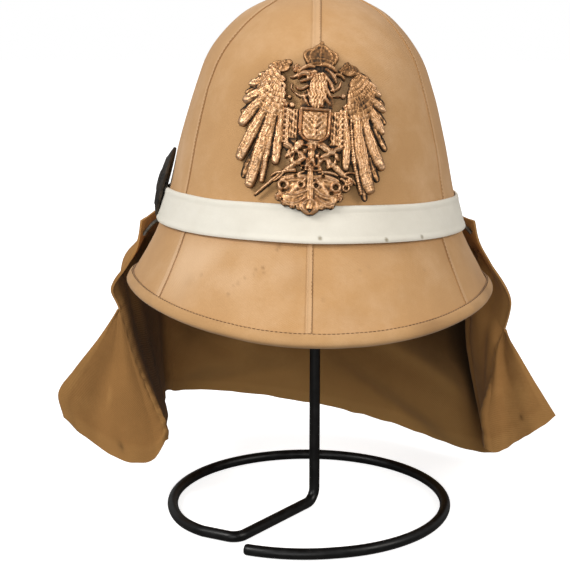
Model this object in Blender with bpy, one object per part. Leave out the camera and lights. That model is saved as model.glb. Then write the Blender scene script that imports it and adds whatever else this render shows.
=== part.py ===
"""A cloth-covered cork sun helmet with a neck curtain, on a stand bent from one rod."""
import math

import bpy
import bmesh
from mathutils import Matrix, Vector

# All sizes are in metres and all angles in degrees.
# Angles round the helmet start at the front, where -Y is, and grow towards +X.

# Crown
CROWN_HALF_WIDTH = 0.1000
CROWN_HALF_LENGTH = 0.1240
CROWN_HEIGHT = 0.1500
CROWN_WALL = 0.0030
CROWN_SEAMS = (0.0, 51.0, 129.0, 180.0, 231.0, 309.0)
BRIM_SEAMS = (-2.0, 52.5, 129.0, 180.0, 231.0, 307.0)
WELT_WIDTH = 0.0040
WELT_HEIGHT = 0.0006
WELT_SLOPE = 0.0008
BUTTON_RADIUS = 0.0110
BUTTON_HEIGHT = 0.0050

# Brim
BRIM_HALF_WIDTH = 0.1230
BRIM_FRONT_REACH = 0.1570
BRIM_BACK_REACH = 0.1650
BRIM_FRONT_DROP = 0.0540
BRIM_SIDE_DROP = 0.0400
BRIM_BACK_DROP = 0.0600
BRIM_WALL = 0.0025
BINDING_DEPTH = 0.0085
BINDING_WALL = 0.0009

# Hat band
BAND_HEIGHT = 0.0220
BAND_WALL = 0.0015

# Stand
ROD_WIDTH = 0.0073
RING_RADIUS = 0.0950
RING_START_RADIUS = 0.0845
RING_END_RADIUS = 0.0975
RING_START_ANGLE = -123.0
RING_SWEEP = 351.5
FOOT_BEND_RADIUS = 0.0090
RING_BEND_RADIUS = 0.0085
POST_OFFSET = Vector((0.0039, 0.0))
KNOB_RADIUS = 0.0120
KNOB_CLEARANCE = 0.0008

# How the helmet sits on the stand
SEAT_HEIGHT = 0.2021
SEAT_OFFSET = Vector((0.0005, -0.0050))
TILT_BACK = 3.3
ROLL_RIGHT = 1.2
TURN = 2.0

# Eagle plate
PLATE_HEIGHT = 0.1000
PLATE_WIDTH = 0.0870
PLATE_MIDDLE = 0.0648
PLATE_ACROSS = -0.0029
PLATE_BEND_RADIUS = 0.0800
PLATE_STANDOFF = 0.0030
PLATE_ROLL = 3.4
PLATE_STUD_RADIUS = 0.0015
PLATE_STUD_ANGLE = -1.8

# Cockade
COCKADE_RADIUS = 0.0237
COCKADE_RISE = 0.0052
COCKADE_WALL = 0.0012
COCKADE_MIDDLE = 0.0235
COCKADE_STANDOFF = 0.0012
COCKADE_STUD_RADIUS = 0.0020

# Neck curtain
CLOTH_THICKNESS = 0.0014
HOOK_WIRE = 0.0011
HOOK_CLEARANCE = 0.0016

# Clearances and mesh fineness
GAP = 0.0003
PANEL_STEP_ANGLE = 13.0
CURTAIN_STEPS = 3
CURTAIN_UPPER_ROWS = 6
CURTAIN_LOWER_ROWS = 7

# The crown's outline: shares of its height and of its half width at the base
CROWN_PROFILE = (
    # height, width
    (0.000, 1.000),
    (0.175, 0.927),
    (0.350, 0.874),
    (0.500, 0.815),
    (0.610, 0.765),
    (0.706, 0.712),
    (0.790, 0.635),
    (0.880, 0.513),
    (0.930, 0.410),
    (0.970, 0.275),
    (1.000, 0.000),
)

# Shares of the crown's height where its mesh has a row, from the base up
CROWN_ROWS = (0.0, 0.13, 0.26, 0.40, 0.53, 0.65, 0.74, 0.82, 0.88, 0.925, 0.96, 0.985)

# The brim's section: shares of its reach and of its drop
BRIM_PROFILE = (
    # out, down
    (0.00, 0.00),
    (0.26, 0.30),
    (0.52, 0.57),
    (0.78, 0.82),
    (1.00, 1.00),
)

# The curtain's folds from the left front to the right front: the angle on the
# brim, how far the cloth stands off it at its top and its edge, as shares of the
# brim's half width, and the hem, as shares of that width, the brim's half length
# and the seat's height, measured from the seat and the floor
CURTAIN_FOLDS = (
    # angle, top off, edge off, hem x, hem y, hem z
    (246.0, 0.085, 0.150, -0.866, 0.404, 0.232),
    (232.0, 0.020, 0.145, -0.923, 0.764, 0.230),
    (215.0, 0.014, 0.075, -0.745, 0.876, 0.212),
    (200.0, 0.013, 0.040, -0.383, 0.975, 0.172),
    (181.0, 0.013, 0.036, -0.024, 1.012, 0.133),
    (162.0, 0.013, 0.040, 0.272, 0.988, 0.098),
    (148.0, 0.013, 0.050, 0.556, 0.888, 0.070),
    (135.0, 0.014, 0.060, 0.833, 0.727, 0.052),
    (126.0, 0.018, 0.078, 1.052, 0.590, 0.042),
    (120.0, 0.024, 0.090, 1.180, 0.596, 0.052),
    (114.0, 0.040, 0.100, 1.098, 0.528, 0.078),
    (108.0, 0.070, 0.115, 1.061, 0.311, 0.137),
)

# The curtain's front edge down to where the wing turns out, then the fold line:
# shares of the brim's half width, its half length and the seat's height
LEFT_FRONT = (
    # down, x, y, z
    (0.00, -0.956, 0.217, 0.970),
    (0.14, -0.989, 0.217, 0.876),
    (0.28, -1.058, 0.224, 0.806),
    (0.42, -1.139, 0.236, 0.727),
    (0.53, -1.102, 0.248, 0.653),
    (0.68, -1.005, 0.155, 0.498),
    (0.84, -0.896, 0.081, 0.361),
    (1.00, -0.802, 0.031, 0.229),
)
RIGHT_FRONT = (
    # down, x, y, z
    (0.00, 0.918, 0.217, 0.973),
    (0.14, 0.950, 0.217, 0.900),
    (0.28, 1.019, 0.217, 0.830),
    (0.42, 1.140, 0.217, 0.703),
    (0.53, 1.116, 0.236, 0.589),
    (0.68, 1.052, 0.155, 0.450),
    (0.84, 1.011, 0.093, 0.371),
    (1.00, 1.000, 0.043, 0.208),
)

# Each wing's free edge below the turn, in the same shares
LEFT_WING = (
    # down, x, y, z
    (0.00, -1.102, 0.248, 0.653),
    (0.33, -1.206, 0.168, 0.562),
    (0.66, -1.338, 0.068, 0.465),
    (0.86, -1.415, 0.025, 0.396),
    (1.00, -1.382, -0.006, 0.316),
)
RIGHT_WING = (
    # down, x, y, z
    (0.00, 1.116, 0.236, 0.589),
    (0.33, 1.158, 0.168, 0.541),
    (0.66, 1.248, 0.081, 0.448),
    (0.86, 1.302, 0.056, 0.398),
    (1.00, 1.374, 0.018, 0.331),
)

# How far each wing's hem sags below a straight line, as shares of the seat's height
LEFT_SAG = ((0.0, 0.0), (0.25, 0.084), (0.5, 0.080), (0.75, 0.052), (1.0, 0.0))
RIGHT_SAG = ((0.0, 0.0), (0.25, 0.034), (0.5, 0.027), (0.75, 0.017), (1.0, 0.0))

# The eagle's feathers on one wing: shares of half the plate's width and height,
# with the crest's height over the plate's back
WING_FEATHERS = (
    # root x, root y, tip x, tip y, width, crest
    (0.30, 0.64, 0.66, 0.71, 0.13, 0.0030),
    (0.34, 0.60, 0.88, 0.48, 0.16, 0.0026),
    (0.38, 0.52, 0.94, 0.33, 0.16, 0.0030),
    (0.40, 0.44, 0.98, 0.17, 0.17, 0.0026),
    (0.42, 0.36, 1.00, -0.02, 0.17, 0.0030),
    (0.42, 0.28, 0.98, -0.24, 0.18, 0.0026),
    (0.42, 0.20, 0.99, -0.45, 0.18, 0.0030),
    (0.41, 0.12, 0.91, -0.63, 0.18, 0.0026),
    (0.40, 0.06, 0.80, -0.78, 0.18, 0.0030),
    (0.38, 0.02, 0.69, -0.85, 0.17, 0.0026),
    (0.34, 0.00, 0.56, -0.72, 0.15, 0.0030),
    (0.31, 0.00, 0.48, -0.46, 0.12, 0.0026),
)

# The short feathers over them and the arm that ties them to the body
WING_COVERTS = (
    # root x, root y, tip x, tip y, width, crest
    (0.34, 0.64, 0.46, 0.00, 0.34, 0.0036),
    (0.00, 0.16, 0.46, 0.10, 0.26, 0.0026),
)

# One side of the collar, legs, claws and tail
LOWER_SIDE = (
    # root x, root y, tip x, tip y, width, crest
    (0.29, 0.30, 0.25, -0.24, 0.08, 0.0034),
    (0.00, -0.22, 0.26, -0.30, 0.14, 0.0026),
    (0.10, -0.30, 0.44, -0.54, 0.12, 0.0036),
    (0.40, -0.50, 0.54, -0.62, 0.08, 0.0028),
    (0.42, -0.50, 0.40, -0.64, 0.08, 0.0028),
    (0.06, -0.56, 0.42, -0.60, 0.12, 0.0030),
    (0.06, -0.78, 0.44, -0.78, 0.16, 0.0032),
    (0.06, -0.84, 0.28, -0.92, 0.16, 0.0028),
)

# The scroll at each side of the tail: a ring with an open eye
SCROLL = (
    # x, y, outer radius, eye radius, crest
    (0.33, -0.66, 0.17, 0.06, 0.0034),
)

# The parts on the eagle's middle line
MIDDLE_BARS = (
    # root x, root y, tip x, tip y, width, crest
    (0.00, 0.40, 0.00, -0.34, 0.50, 0.0028),
    (0.06, 0.62, -0.03, 0.20, 0.30, 0.0042),
    (0.04, 0.56, -0.24, 0.47, 0.18, 0.0046),
    (-0.20, 0.50, -0.36, 0.40, 0.10, 0.0036),
    (0.02, 0.67, -0.34, 0.60, 0.09, 0.0026),
    (0.04, 0.67, 0.36, 0.58, 0.09, 0.0026),
    (0.00, -0.26, 0.00, -0.80, 0.22, 0.0032),
    (0.00, -0.56, -0.01, -0.99, 0.20, 0.0038),
    (-0.21, 0.72, 0.23, 0.72, 0.10, 0.0042),
    (0.01, 0.56, 0.01, 0.93, 0.44, 0.0034),
    (0.01, 0.88, 0.01, 0.99, 0.11, 0.0038),
)

# The shield's outline and its raised charge
SHIELD_OUTLINE = (
    # x, y
    (-0.21, 0.20),
    (0.21, 0.20),
    (0.21, -0.10),
    (0.15, -0.20),
    (0.00, -0.24),
    (-0.15, -0.20),
    (-0.21, -0.10),
)
SHIELD_BASE = 0.0014
SHIELD_CREST = 0.0044


def clear_scene():
    for thing in list(bpy.data.objects):
        bpy.data.objects.remove(thing)


def finish(name, colour, roughness, metallic=0.0):
    """A plain finish in the piece's own colour."""
    material = bpy.data.materials.new(name)
    material.use_nodes = True
    shader = material.node_tree.nodes["Principled BSDF"]
    shader.inputs["Base Color"].default_value = (*colour, 1.0)
    shader.inputs["Roughness"].default_value = roughness
    shader.inputs["Metallic"].default_value = metallic
    return material


def add_object(name, mesh, material, parent, smooth_angle=40.0):
    """Put a mesh in the scene with one material, under the empty that places it."""
    piece = bpy.data.objects.new(name, mesh)
    bpy.context.scene.collection.objects.link(piece)
    mesh.materials.append(material)
    mesh.shade_smooth()
    mesh.set_sharp_from_angle(angle=math.radians(smooth_angle))
    piece.parent = parent
    return piece


def mesh_from(name, points, faces):
    mesh = bpy.data.meshes.new(name)
    mesh.from_pydata([tuple(point) for point in points], [], faces)
    mesh.validate()
    return mesh


def thicken(piece, thickness, offset):
    """Give an open sheet its wall; the offset runs from -1, inwards, to 1, outwards."""
    wall = piece.modifiers.new("wall", "SOLIDIFY")
    wall.thickness = thickness
    wall.offset = offset
    wall.use_even_offset = True
    wall.use_rim = True


def smooth_between(knots, values, place):
    """Read a smooth curve through the values, which stand at the knots, at a place."""
    last = len(knots) - 1
    span = 0
    while span < last - 1 and place > knots[span + 1]:
        span += 1

    def slope(index):
        low, high = max(index - 1, 0), min(index + 1, last)
        return (values[high] - values[low]) / (knots[high] - knots[low])

    width = knots[span + 1] - knots[span]
    t = (place - knots[span]) / width
    start = values[span] * (2 * t ** 3 - 3 * t ** 2 + 1)
    leave = slope(span) * (width * (t ** 3 - 2 * t ** 2 + t))
    end = values[span + 1] * (3 * t ** 2 - 2 * t ** 3)
    arrive = slope(span + 1) * (width * (t ** 3 - t ** 2))
    return start + leave + end + arrive


def crown_curve():
    """Close steps along the crown's outline, as shares of its height and width."""
    knots = [0.0]
    for before, after in zip(CROWN_PROFILE, CROWN_PROFILE[1:]):
        rise = (after[0] - before[0]) * CROWN_HEIGHT
        run = (after[1] - before[1]) * CROWN_HALF_WIDTH
        knots.append(knots[-1] + math.hypot(rise, run))
    rows = list(CROWN_PROFILE) + [(CROWN_PROFILE[-2][0], -CROWN_PROFILE[-2][1])]
    knots.append(2 * knots[-1] - knots[-2])
    steps = 240
    curve = []
    for step in range(steps + 1):
        place = knots[-2] * step / steps
        height = smooth_between(knots, [row[0] for row in rows], place)
        width = smooth_between(knots, [row[1] for row in rows], place)
        curve.append((min(height, 1.0), max(width, 0.0)))
    return curve


def crown_share(share_up):
    """The crown's width at a share of its height, as a share of its width at the base."""
    if share_up >= 1.0:
        return 0.0
    low, high = 0, len(CROWN_CURVE) - 1
    while high - low > 1:
        middle = (low + high) // 2
        if CROWN_CURVE[middle][0] <= share_up:
            low = middle
        else:
            high = middle
    start, end = CROWN_CURVE[low], CROWN_CURVE[high]
    share = (share_up - start[0]) / max(end[0] - start[0], 1e-9)
    return start[1] + (end[1] - start[1]) * share


CROWN_CURVE = crown_curve()


def crown_point(angle, height, lift=0.0):
    """A point on the crown's cloth, or lifted off it, with height above the seat."""
    share = crown_share(height / CROWN_HEIGHT)
    turn = math.radians(angle)
    point = Vector((
        CROWN_HALF_WIDTH * share * math.sin(turn),
        -CROWN_HALF_LENGTH * share * math.cos(turn),
        height,
    ))
    return point + crown_normal(angle, height) * lift


def crown_normal(angle, height):
    """The outward direction of the crown's cloth."""
    step = CROWN_HEIGHT * 0.002
    low = max(height - step, 0.0)
    high = min(low + 2 * step, CROWN_HEIGHT)
    share = crown_share(height / CROWN_HEIGHT)
    fall = crown_share(low / CROWN_HEIGHT) - crown_share(high / CROWN_HEIGHT)
    turn = math.radians(angle)
    slope = fall / (high - low)
    if share < 1e-6:
        return Vector((0.0, 0.0, 1.0))
    across = math.sin(turn) / CROWN_HALF_WIDTH
    along = -math.cos(turn) / CROWN_HALF_LENGTH
    return Vector((across, along, slope)).normalized()


def brim_edge(angle):
    """A point on the brim's own edge, inside the binding that makes its outline."""
    turn = math.radians(angle)
    middle = (BRIM_BACK_REACH - BRIM_FRONT_REACH) / 2
    forward = math.cos(turn)
    end_drop = BRIM_FRONT_DROP if forward > 0 else BRIM_BACK_DROP
    drop = BRIM_SIDE_DROP + (end_drop - BRIM_SIDE_DROP) * forward ** 2
    outline = Vector((
        BRIM_HALF_WIDTH * math.sin(turn),
        middle - half_length() * forward,
        -drop,
    ))
    inner = crown_point(angle, 0.0)
    return outline - (outline - inner).normalized() * binding_reach()


def binding_reach():
    """How far the binding goes past the brim's own edge."""
    return GAP + BINDING_WALL + BRIM_WALL / 4


def brim_point(angle, share_down, lift=0.0):
    """A point on the brim's upper face, from 0 at the crown to 1 at the edge."""
    point = brim_place(angle, share_down)
    if lift == 0.0:
        return point
    return point + brim_normal(angle, share_down) * lift


def brim_place(angle, share_down):
    inner = crown_point(angle, 0.0)
    inner.z = -GAP
    edge = brim_edge(angle)
    downs = [index / (len(BRIM_PROFILE) - 1) for index in range(len(BRIM_PROFILE))]
    out = smooth_between(downs, [row[0] for row in BRIM_PROFILE], share_down)
    down = smooth_between(downs, [row[1] for row in BRIM_PROFILE], share_down)
    return Vector((
        inner.x + (edge.x - inner.x) * out,
        inner.y + (edge.y - inner.y) * out,
        inner.z + (edge.z - inner.z) * down,
    ))


def brim_normal(angle, share_down):
    """The outward and upward direction of the brim's upper face."""
    step = 0.02
    down = brim_place(angle, min(share_down + step, 1.0)) - brim_place(angle, max(share_down - step, 0.0))
    around = brim_place(angle + 1.0, share_down) - brim_place(angle - 1.0, share_down)
    return around.cross(-down).normalized()


def panel_columns(radius, seams):
    """Angles round the helmet and how high the cloth stands there over the seams."""
    columns = []
    count = len(seams)
    half_width = math.degrees((WELT_WIDTH / 2) / radius)
    half_foot = math.degrees((WELT_WIDTH / 2 + WELT_SLOPE) / radius)
    most = 12.0
    half_foot = min(half_foot, most)
    half_width = min(half_width, half_foot * 0.75)
    for index, seam in enumerate(seams):
        following = seams[(index + 1) % count] + (360.0 if index == count - 1 else 0.0)
        columns.append((seam - half_foot, 0.0))
        columns.append((seam - half_width, WELT_HEIGHT))
        columns.append((seam + half_width, WELT_HEIGHT))
        columns.append((seam + half_foot, 0.0))
        start, stop = seam + half_foot, following - half_foot
        steps = round((following - seam) / PANEL_STEP_ANGLE)
        for step in range(1, steps):
            columns.append((start + (stop - start) * step / steps, 0.0))
    return columns


def ring_faces(row_count, column_count, first=0):
    """Quads between closed rows of points, counted from the top row down."""
    faces = []
    for row in range(row_count - 1):
        for column in range(column_count):
            after = (column + 1) % column_count
            upper, lower = first + row * column_count, first + (row + 1) * column_count
            faces.append((upper + column, lower + column, lower + after, upper + after))
    return faces


def ring_body(name, rows):
    """A closed ring whose section runs through the rows and back to the first one."""
    points = [point for row in rows for point in row]
    around = len(rows[0])
    faces = ring_faces(len(rows), around)
    last = (len(rows) - 1) * around
    for column in range(around):
        after = (column + 1) % around
        faces.append((last + column, column, after, last + after))
    return mesh_from(name, points, faces)


def build_crown(material, parent):
    """The domed cork crown under six cloth panels, open below."""
    under_button = 0.97
    points = [Vector((0.0, 0.0, CROWN_HEIGHT))]
    for share in reversed(CROWN_ROWS):
        radius = CROWN_HALF_WIDTH * crown_share(share)
        for angle, rise in panel_columns(radius, CROWN_SEAMS):
            lift = rise if share < under_button else 0.0
            points.append(crown_point(angle, share * CROWN_HEIGHT, lift))
    inner_rows = CROWN_ROWS[::2]
    for share in inner_rows:
        radius = CROWN_HALF_WIDTH * crown_share(share)
        for angle, rise in panel_columns(radius, CROWN_SEAMS):
            point = crown_point(angle, share * CROWN_HEIGHT, -CROWN_WALL)
            point.z = max(point.z, 0.0)
            points.append(point)
    column_count = len(panel_columns(CROWN_HALF_WIDTH, CROWN_SEAMS))
    row_count = len(CROWN_ROWS) + len(inner_rows)
    faces = [(0, 1 + column, 1 + (column + 1) % column_count) for column in range(column_count)]
    faces += ring_faces(row_count, column_count, first=1)
    top = len(points)
    points.append(Vector((0.0, 0.0, CROWN_HEIGHT - CROWN_WALL)))
    last = top - column_count
    faces += [(last + column, top, last + (column + 1) % column_count) for column in range(column_count)]
    return add_object("crown", mesh_from("crown", points, faces), material, parent, 22.0)


def build_brim(material, parent):
    """The sloping brim, one closed ring below the crown."""
    spans = 3
    upper, lower = [], []
    for row in range(spans + 2):
        above, below = [], []
        for angle, rise in brim_columns():
            bound = 1.0 - BINDING_DEPTH / brim_depth(angle)
            share = bound * row / spans if row <= spans else 1.0
            above.append(brim_point(angle, share, rise))
            under = brim_point(angle, share, -BRIM_WALL)
            below.append(under)
        upper.append(above)
        lower.append(below)
    rows = upper + lower[::-1]
    return add_object("brim", ring_body("brim", rows), material, parent, 22.0)


def brim_columns():
    """The brim's columns, each a seam's welt or a step along a panel."""
    return panel_columns((CROWN_HALF_WIDTH + BRIM_HALF_WIDTH) / 2, BRIM_SEAMS)


def brim_depth(angle):
    """The brim's length along its slope."""
    return (brim_place(angle, 1.0) - brim_place(angle, 0.0)).length


def build_binding(material, parent):
    """The folded cloth strip that wraps the brim's edge, above, outside and below."""
    under = -BRIM_WALL - GAP
    sections = (
        # share back from the edge, height off the cloth, reach past the edge
        (1.0, GAP + BINDING_WALL, 0.0),
        (0.0, GAP + BINDING_WALL, GAP + BINDING_WALL * 0.6),
        (0.0, -BRIM_WALL / 2, binding_reach()),
        (0.0, under - BINDING_WALL, GAP + BINDING_WALL * 0.6),
        (1.0, under - BINDING_WALL, 0.0),
        (1.0, under, 0.0),
        (0.0, under, GAP),
        (0.0, GAP, GAP),
        (1.0, GAP, 0.0),
    )
    rows = []
    for back, height, reach in sections:
        row = []
        for angle, rise in brim_columns():
            share = 1.0 - back * BINDING_DEPTH / brim_depth(angle)
            slope = (brim_place(angle, 1.0) - brim_place(angle, 0.97)).normalized()
            lift = height + (rise if height > 0.0 else 0.0)
            row.append(brim_point(angle, share, lift) + slope * reach)
        rows.append(row)
    return add_object("brim_binding", ring_body("brim_binding", rows), material, parent, 40.0)


def build_band(material, parent):
    """The flat cloth band over the join of crown and brim."""
    inner = WELT_HEIGHT + GAP
    foot = GAP * 2
    heights = (BAND_HEIGHT, (BAND_HEIGHT + foot) / 2, foot)
    rows = []
    for lift, levels in ((inner + BAND_WALL, heights), (inner, heights[::-1])):
        for height in levels:
            row = []
            for angle, rise in panel_columns(CROWN_HALF_WIDTH, CROWN_SEAMS):
                point = crown_point(angle, height, lift)
                point.z = height
                row.append(point)
            rows.append(row)
    return add_object("hat_band", ring_body("hat_band", rows), material, parent, 40.0)


def build_button(material, parent):
    """A low cloth-covered button over the point where the panels meet."""
    profile = [(1.0, 0.0), (1.0, 0.35), (0.80, 0.76), (0.0, 1.0)]
    sides = 24
    base = CROWN_HEIGHT + GAP
    points = []
    for radius_share, height_share in reversed(profile[:-1]):
        for side in range(sides):
            turn = 2 * math.pi * side / sides
            radius = BUTTON_RADIUS * radius_share
            points.append(Vector((radius * math.sin(turn), -radius * math.cos(turn), base + BUTTON_HEIGHT * height_share)))
    faces = ring_faces(len(profile) - 1, sides)
    top = len(points)
    points.append(Vector((0.0, 0.0, base + BUTTON_HEIGHT)))
    faces += [(top, side, (side + 1) % sides) for side in range(sides)]
    last = top - sides
    faces.append(tuple(last + side for side in reversed(range(sides))))
    return add_object("crown_button", mesh_from("crown_button", points, faces), material, parent)


def plate_point(across, up, height):
    """A point of the eagle plate: across and up from its middle, height off its back."""
    roll = math.radians(PLATE_ROLL)
    x = PLATE_ACROSS + across * math.cos(roll) + up * math.sin(roll)
    z = PLATE_MIDDLE + up * math.cos(roll) - across * math.sin(roll)
    normal = crown_normal(0.0, z)
    middle = crown_point(0.0, z) + normal * PLATE_STANDOFF
    turn = math.asin(x / PLATE_BEND_RADIUS)
    back = PLATE_BEND_RADIUS * (1.0 - math.cos(turn))
    lean = Vector((math.sin(turn), normal.y * math.cos(turn), normal.z * math.cos(turn)))
    return Vector((x, middle.y + back, middle.z)) + lean * height


def relief_bar(name, row, base):
    """A raised bar on the plate, from a root to a rounder tip, with a ridge along it."""
    root_x, root_y, tip_x, tip_y, width, crest = row
    half_w, half_h = PLATE_WIDTH / 2, PLATE_HEIGHT / 2
    root = Vector((root_x * half_w, root_y * half_h))
    tip = Vector((tip_x * half_w, tip_y * half_h))
    along = tip - root
    side = Vector((-along.y, along.x)).normalized()
    points = []
    sections = ((0.0, 0.75, 0.80), (0.72, 1.00, 1.00), (1.0, 0.50, 0.55))
    half_width = width * half_w / 2
    outline = (
        # across, height share
        (1.0, 0.0),
        (0.55, 1.0),
        (-0.85, 0.60),
        (-1.0, 0.0),
    )
    for share, wide, high in sections:
        middle = root + along * share
        for across, height in outline:
            place = middle + side * half_width * wide * across
            points.append(plate_point(place.x, place.y, base + (crest - base) * height * high))
    count = len(outline)
    faces = []
    for section in range(len(sections) - 1):
        for corner in range(count):
            after = (corner + 1) % count
            first, second = section * count, (section + 1) * count
            faces.append((first + corner, first + after, second + after, second + corner))
    faces.append(tuple(range(count)))
    last = (len(sections) - 1) * count
    faces.append(tuple(last + corner for corner in reversed(range(count))))
    return outward(mesh_from(name, points, faces))


def outward(mesh):
    """Turn a closed mesh's faces outwards."""
    work = bmesh.new()
    work.from_mesh(mesh)
    bmesh.ops.recalc_face_normals(work, faces=work.faces)
    work.to_mesh(mesh)
    work.free()
    return mesh


def scroll_ring(name, x, y, outer, eye, crest):
    """An eight-sided ring that stands up from the plate round an open eye."""
    half_w, half_h = PLATE_WIDTH / 2, PLATE_HEIGHT / 2
    sides = 8
    base = 0.0007
    sections = ((outer, base), (outer * 0.85, crest), (eye, crest * 0.8), (eye, base))
    points = []
    for radius, height in sections:
        for side in range(sides):
            turn = 2 * math.pi * side / sides
            across = x * half_w + radius * half_w * math.sin(turn)
            points.append(plate_point(across, y * half_h + radius * half_w * math.cos(turn), height))
    faces = ring_faces(len(sections), sides)
    last = (len(sections) - 1) * sides
    for side in range(sides):
        after = (side + 1) % sides
        faces.append((last + side, side, after, last + after))
    return outward(mesh_from(name, points, faces))


def shield_solid():
    """The small shield on the eagle's breast."""
    half_w, half_h = PLATE_WIDTH / 2, PLATE_HEIGHT / 2
    points = []
    for height, inset in ((SHIELD_BASE, 1.0), (SHIELD_CREST, 1.0), (SHIELD_CREST, 0.84), (SHIELD_CREST - 0.0006, 0.80)):
        for x, y in SHIELD_OUTLINE:
            points.append(plate_point(x * inset * half_w, y * inset * half_h, height))
    count = len(SHIELD_OUTLINE)
    faces = []
    for ring in range(3):
        for corner in range(count):
            after = (corner + 1) % count
            first, second = ring * count, (ring + 1) * count
            faces.append((first + corner, first + after, second + after, second + corner))
    faces.append(tuple(range(count)))
    faces.append(tuple(3 * count + corner for corner in range(count)))
    return outward(mesh_from("shield", points, faces))


def mirrored(row):
    root_x, root_y, tip_x, tip_y, width, crest = row
    return (-root_x, root_y, -tip_x, tip_y, width, crest)


def build_plate(material, parent):
    """The cast eagle plate, one pierced solid with its relief raised."""
    layers = []
    for index, row in enumerate(WING_FEATHERS):
        layers.append((row, 0.00002 * index))
    for index, row in enumerate(WING_COVERTS):
        layers.append((row, 0.0005 + 0.00003 * index))
    for index, row in enumerate(LOWER_SIDE):
        layers.append((row, 0.0003 + 0.00003 * index))
    bars = []
    for number, (row, base) in enumerate(layers):
        bars.append(relief_bar(f"relief_{number}_right", row, base))
        bars.append(relief_bar(f"relief_{number}_left", mirrored(row), base + 0.00001))
    for number, row in enumerate(MIDDLE_BARS[1:]):
        bars.append(relief_bar(f"relief_middle_{number}", row, 0.0004 + 0.00003 * number))
    for number, (x, y, outer, eye, crest) in enumerate(SCROLL):
        bars.append(scroll_ring(f"scroll_{number}_right", x, y, outer, eye, crest))
        bars.append(scroll_ring(f"scroll_{number}_left", -x, y, outer, eye, crest))
    bars.append(shield_solid())
    body = relief_bar("eagle_plate", MIDDLE_BARS[0], 0.0002)
    plate = add_object("eagle_plate", body, material, parent, 30.0)
    guides = bpy.data.collections.new("relief")
    bpy.context.scene.collection.children.link(guides)
    for mesh in bars:
        guide = bpy.data.objects.new(mesh.name, mesh)
        guide.parent = parent
        guide.hide_render = True
        guide.display_type = "WIRE"
        guides.objects.link(guide)
    for level in (0.45, -0.16):
        stud = plate_stud(level)
        stud.parent = parent
        guides.objects.link(stud)
    union = plate.modifiers.new("relief", "BOOLEAN")
    union.operation = "UNION"
    union.solver = "EXACT"
    union.operand_type = "COLLECTION"
    union.collection = guides
    return plate


def plate_stud(level):
    """A round stud at the plate's back that meets the crown."""
    up = level * PLATE_HEIGHT / 2
    height = PLATE_MIDDLE + up
    foot = crown_point(PLATE_STUD_ANGLE, height, WELT_HEIGHT + GAP)
    head = crown_point(PLATE_STUD_ANGLE, height, PLATE_STANDOFF + 0.0012)
    return guide_pin(f"plate_stud_{level}", foot, head, PLATE_STUD_RADIUS)


def pin_mesh(name, foot, head, radius, sides=10):
    """A closed round pin between two points."""
    axis = (head - foot).normalized()
    aside = axis.orthogonal().normalized()
    other = axis.cross(aside)
    points = []
    for middle in (foot, head):
        for side in range(sides):
            turn = 2 * math.pi * side / sides
            points.append(middle + (aside * math.cos(turn) + other * math.sin(turn)) * radius)
    faces = [(side, (side + 1) % sides, sides + (side + 1) % sides, sides + side) for side in range(sides)]
    faces.append(tuple(reversed(range(sides))))
    faces.append(tuple(range(sides, 2 * sides)))
    return outward(mesh_from(name, points, faces))


def guide_pin(name, foot, head, radius):
    guide = bpy.data.objects.new(name, pin_mesh(name, foot, head, radius))
    guide.hide_render = True
    guide.display_type = "WIRE"
    return guide


def cockade_frame():
    """The cockade's middle, its outward direction and its upward direction."""
    angle = 270.0
    normal = crown_normal(angle, COCKADE_MIDDLE)
    lift = WELT_HEIGHT + GAP + BAND_WALL + COCKADE_STANDOFF
    middle = crown_point(angle, COCKADE_MIDDLE, lift)
    up = (Vector((0.0, 0.0, 1.0)) - normal * normal.z).normalized()
    return middle, normal, up


def build_cockade(material, parent):
    """The round ribbed cockade, dished so that its back is hollow."""
    middle, normal, up = cockade_frame()
    aside = up.cross(normal)
    sides = 24
    profile = ((0.0, 1.00), (0.30, 0.92), (0.36, 0.76), (0.66, 0.60), (1.0, 0.0))
    points = [middle + normal * COCKADE_RISE]
    for radius_share, rise_share in profile[1:]:
        for side in range(sides):
            turn = 2 * math.pi * side / sides
            out = (up * math.cos(turn) + aside * math.sin(turn)) * COCKADE_RADIUS * radius_share
            points.append(middle + out + normal * COCKADE_RISE * rise_share)
    faces = [(0, 1 + side, 1 + (side + 1) % sides) for side in range(sides)]
    faces += ring_faces(len(profile) - 1, sides, first=1)
    cockade = add_object("cockade", mesh_from("cockade", points, faces), material, parent, 25.0)
    thicken(cockade, COCKADE_WALL, -1.0)
    return cockade


def build_cockade_stud(material, parent):
    """The stud that holds the cockade off the band."""
    middle, normal, up = cockade_frame()
    foot = middle - normal * (COCKADE_STANDOFF - GAP)
    head = middle + normal * (COCKADE_RISE - COCKADE_WALL - GAP)
    return add_object("cockade_stud", pin_mesh("cockade_stud", foot, head, COCKADE_STUD_RADIUS), material, parent)


def half_length():
    return (BRIM_FRONT_REACH + BRIM_BACK_REACH) / 2


def curtain_place(share_x, share_y, share_z):
    """A place beside the helmet: shares of the brim's size and the seat's height."""
    return Vector((
        SEAT_OFFSET.x + share_x * BRIM_HALF_WIDTH,
        SEAT_OFFSET.y + share_y * half_length(),
        share_z * SEAT_HEIGHT,
    ))


def edge_curve(rows, share):
    """A point down one of the curtain's edge tables."""
    knots = [row[0] for row in rows]
    places = [curtain_place(*row[1:]) for row in rows]
    return smooth_between(knots, places, share)


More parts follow.
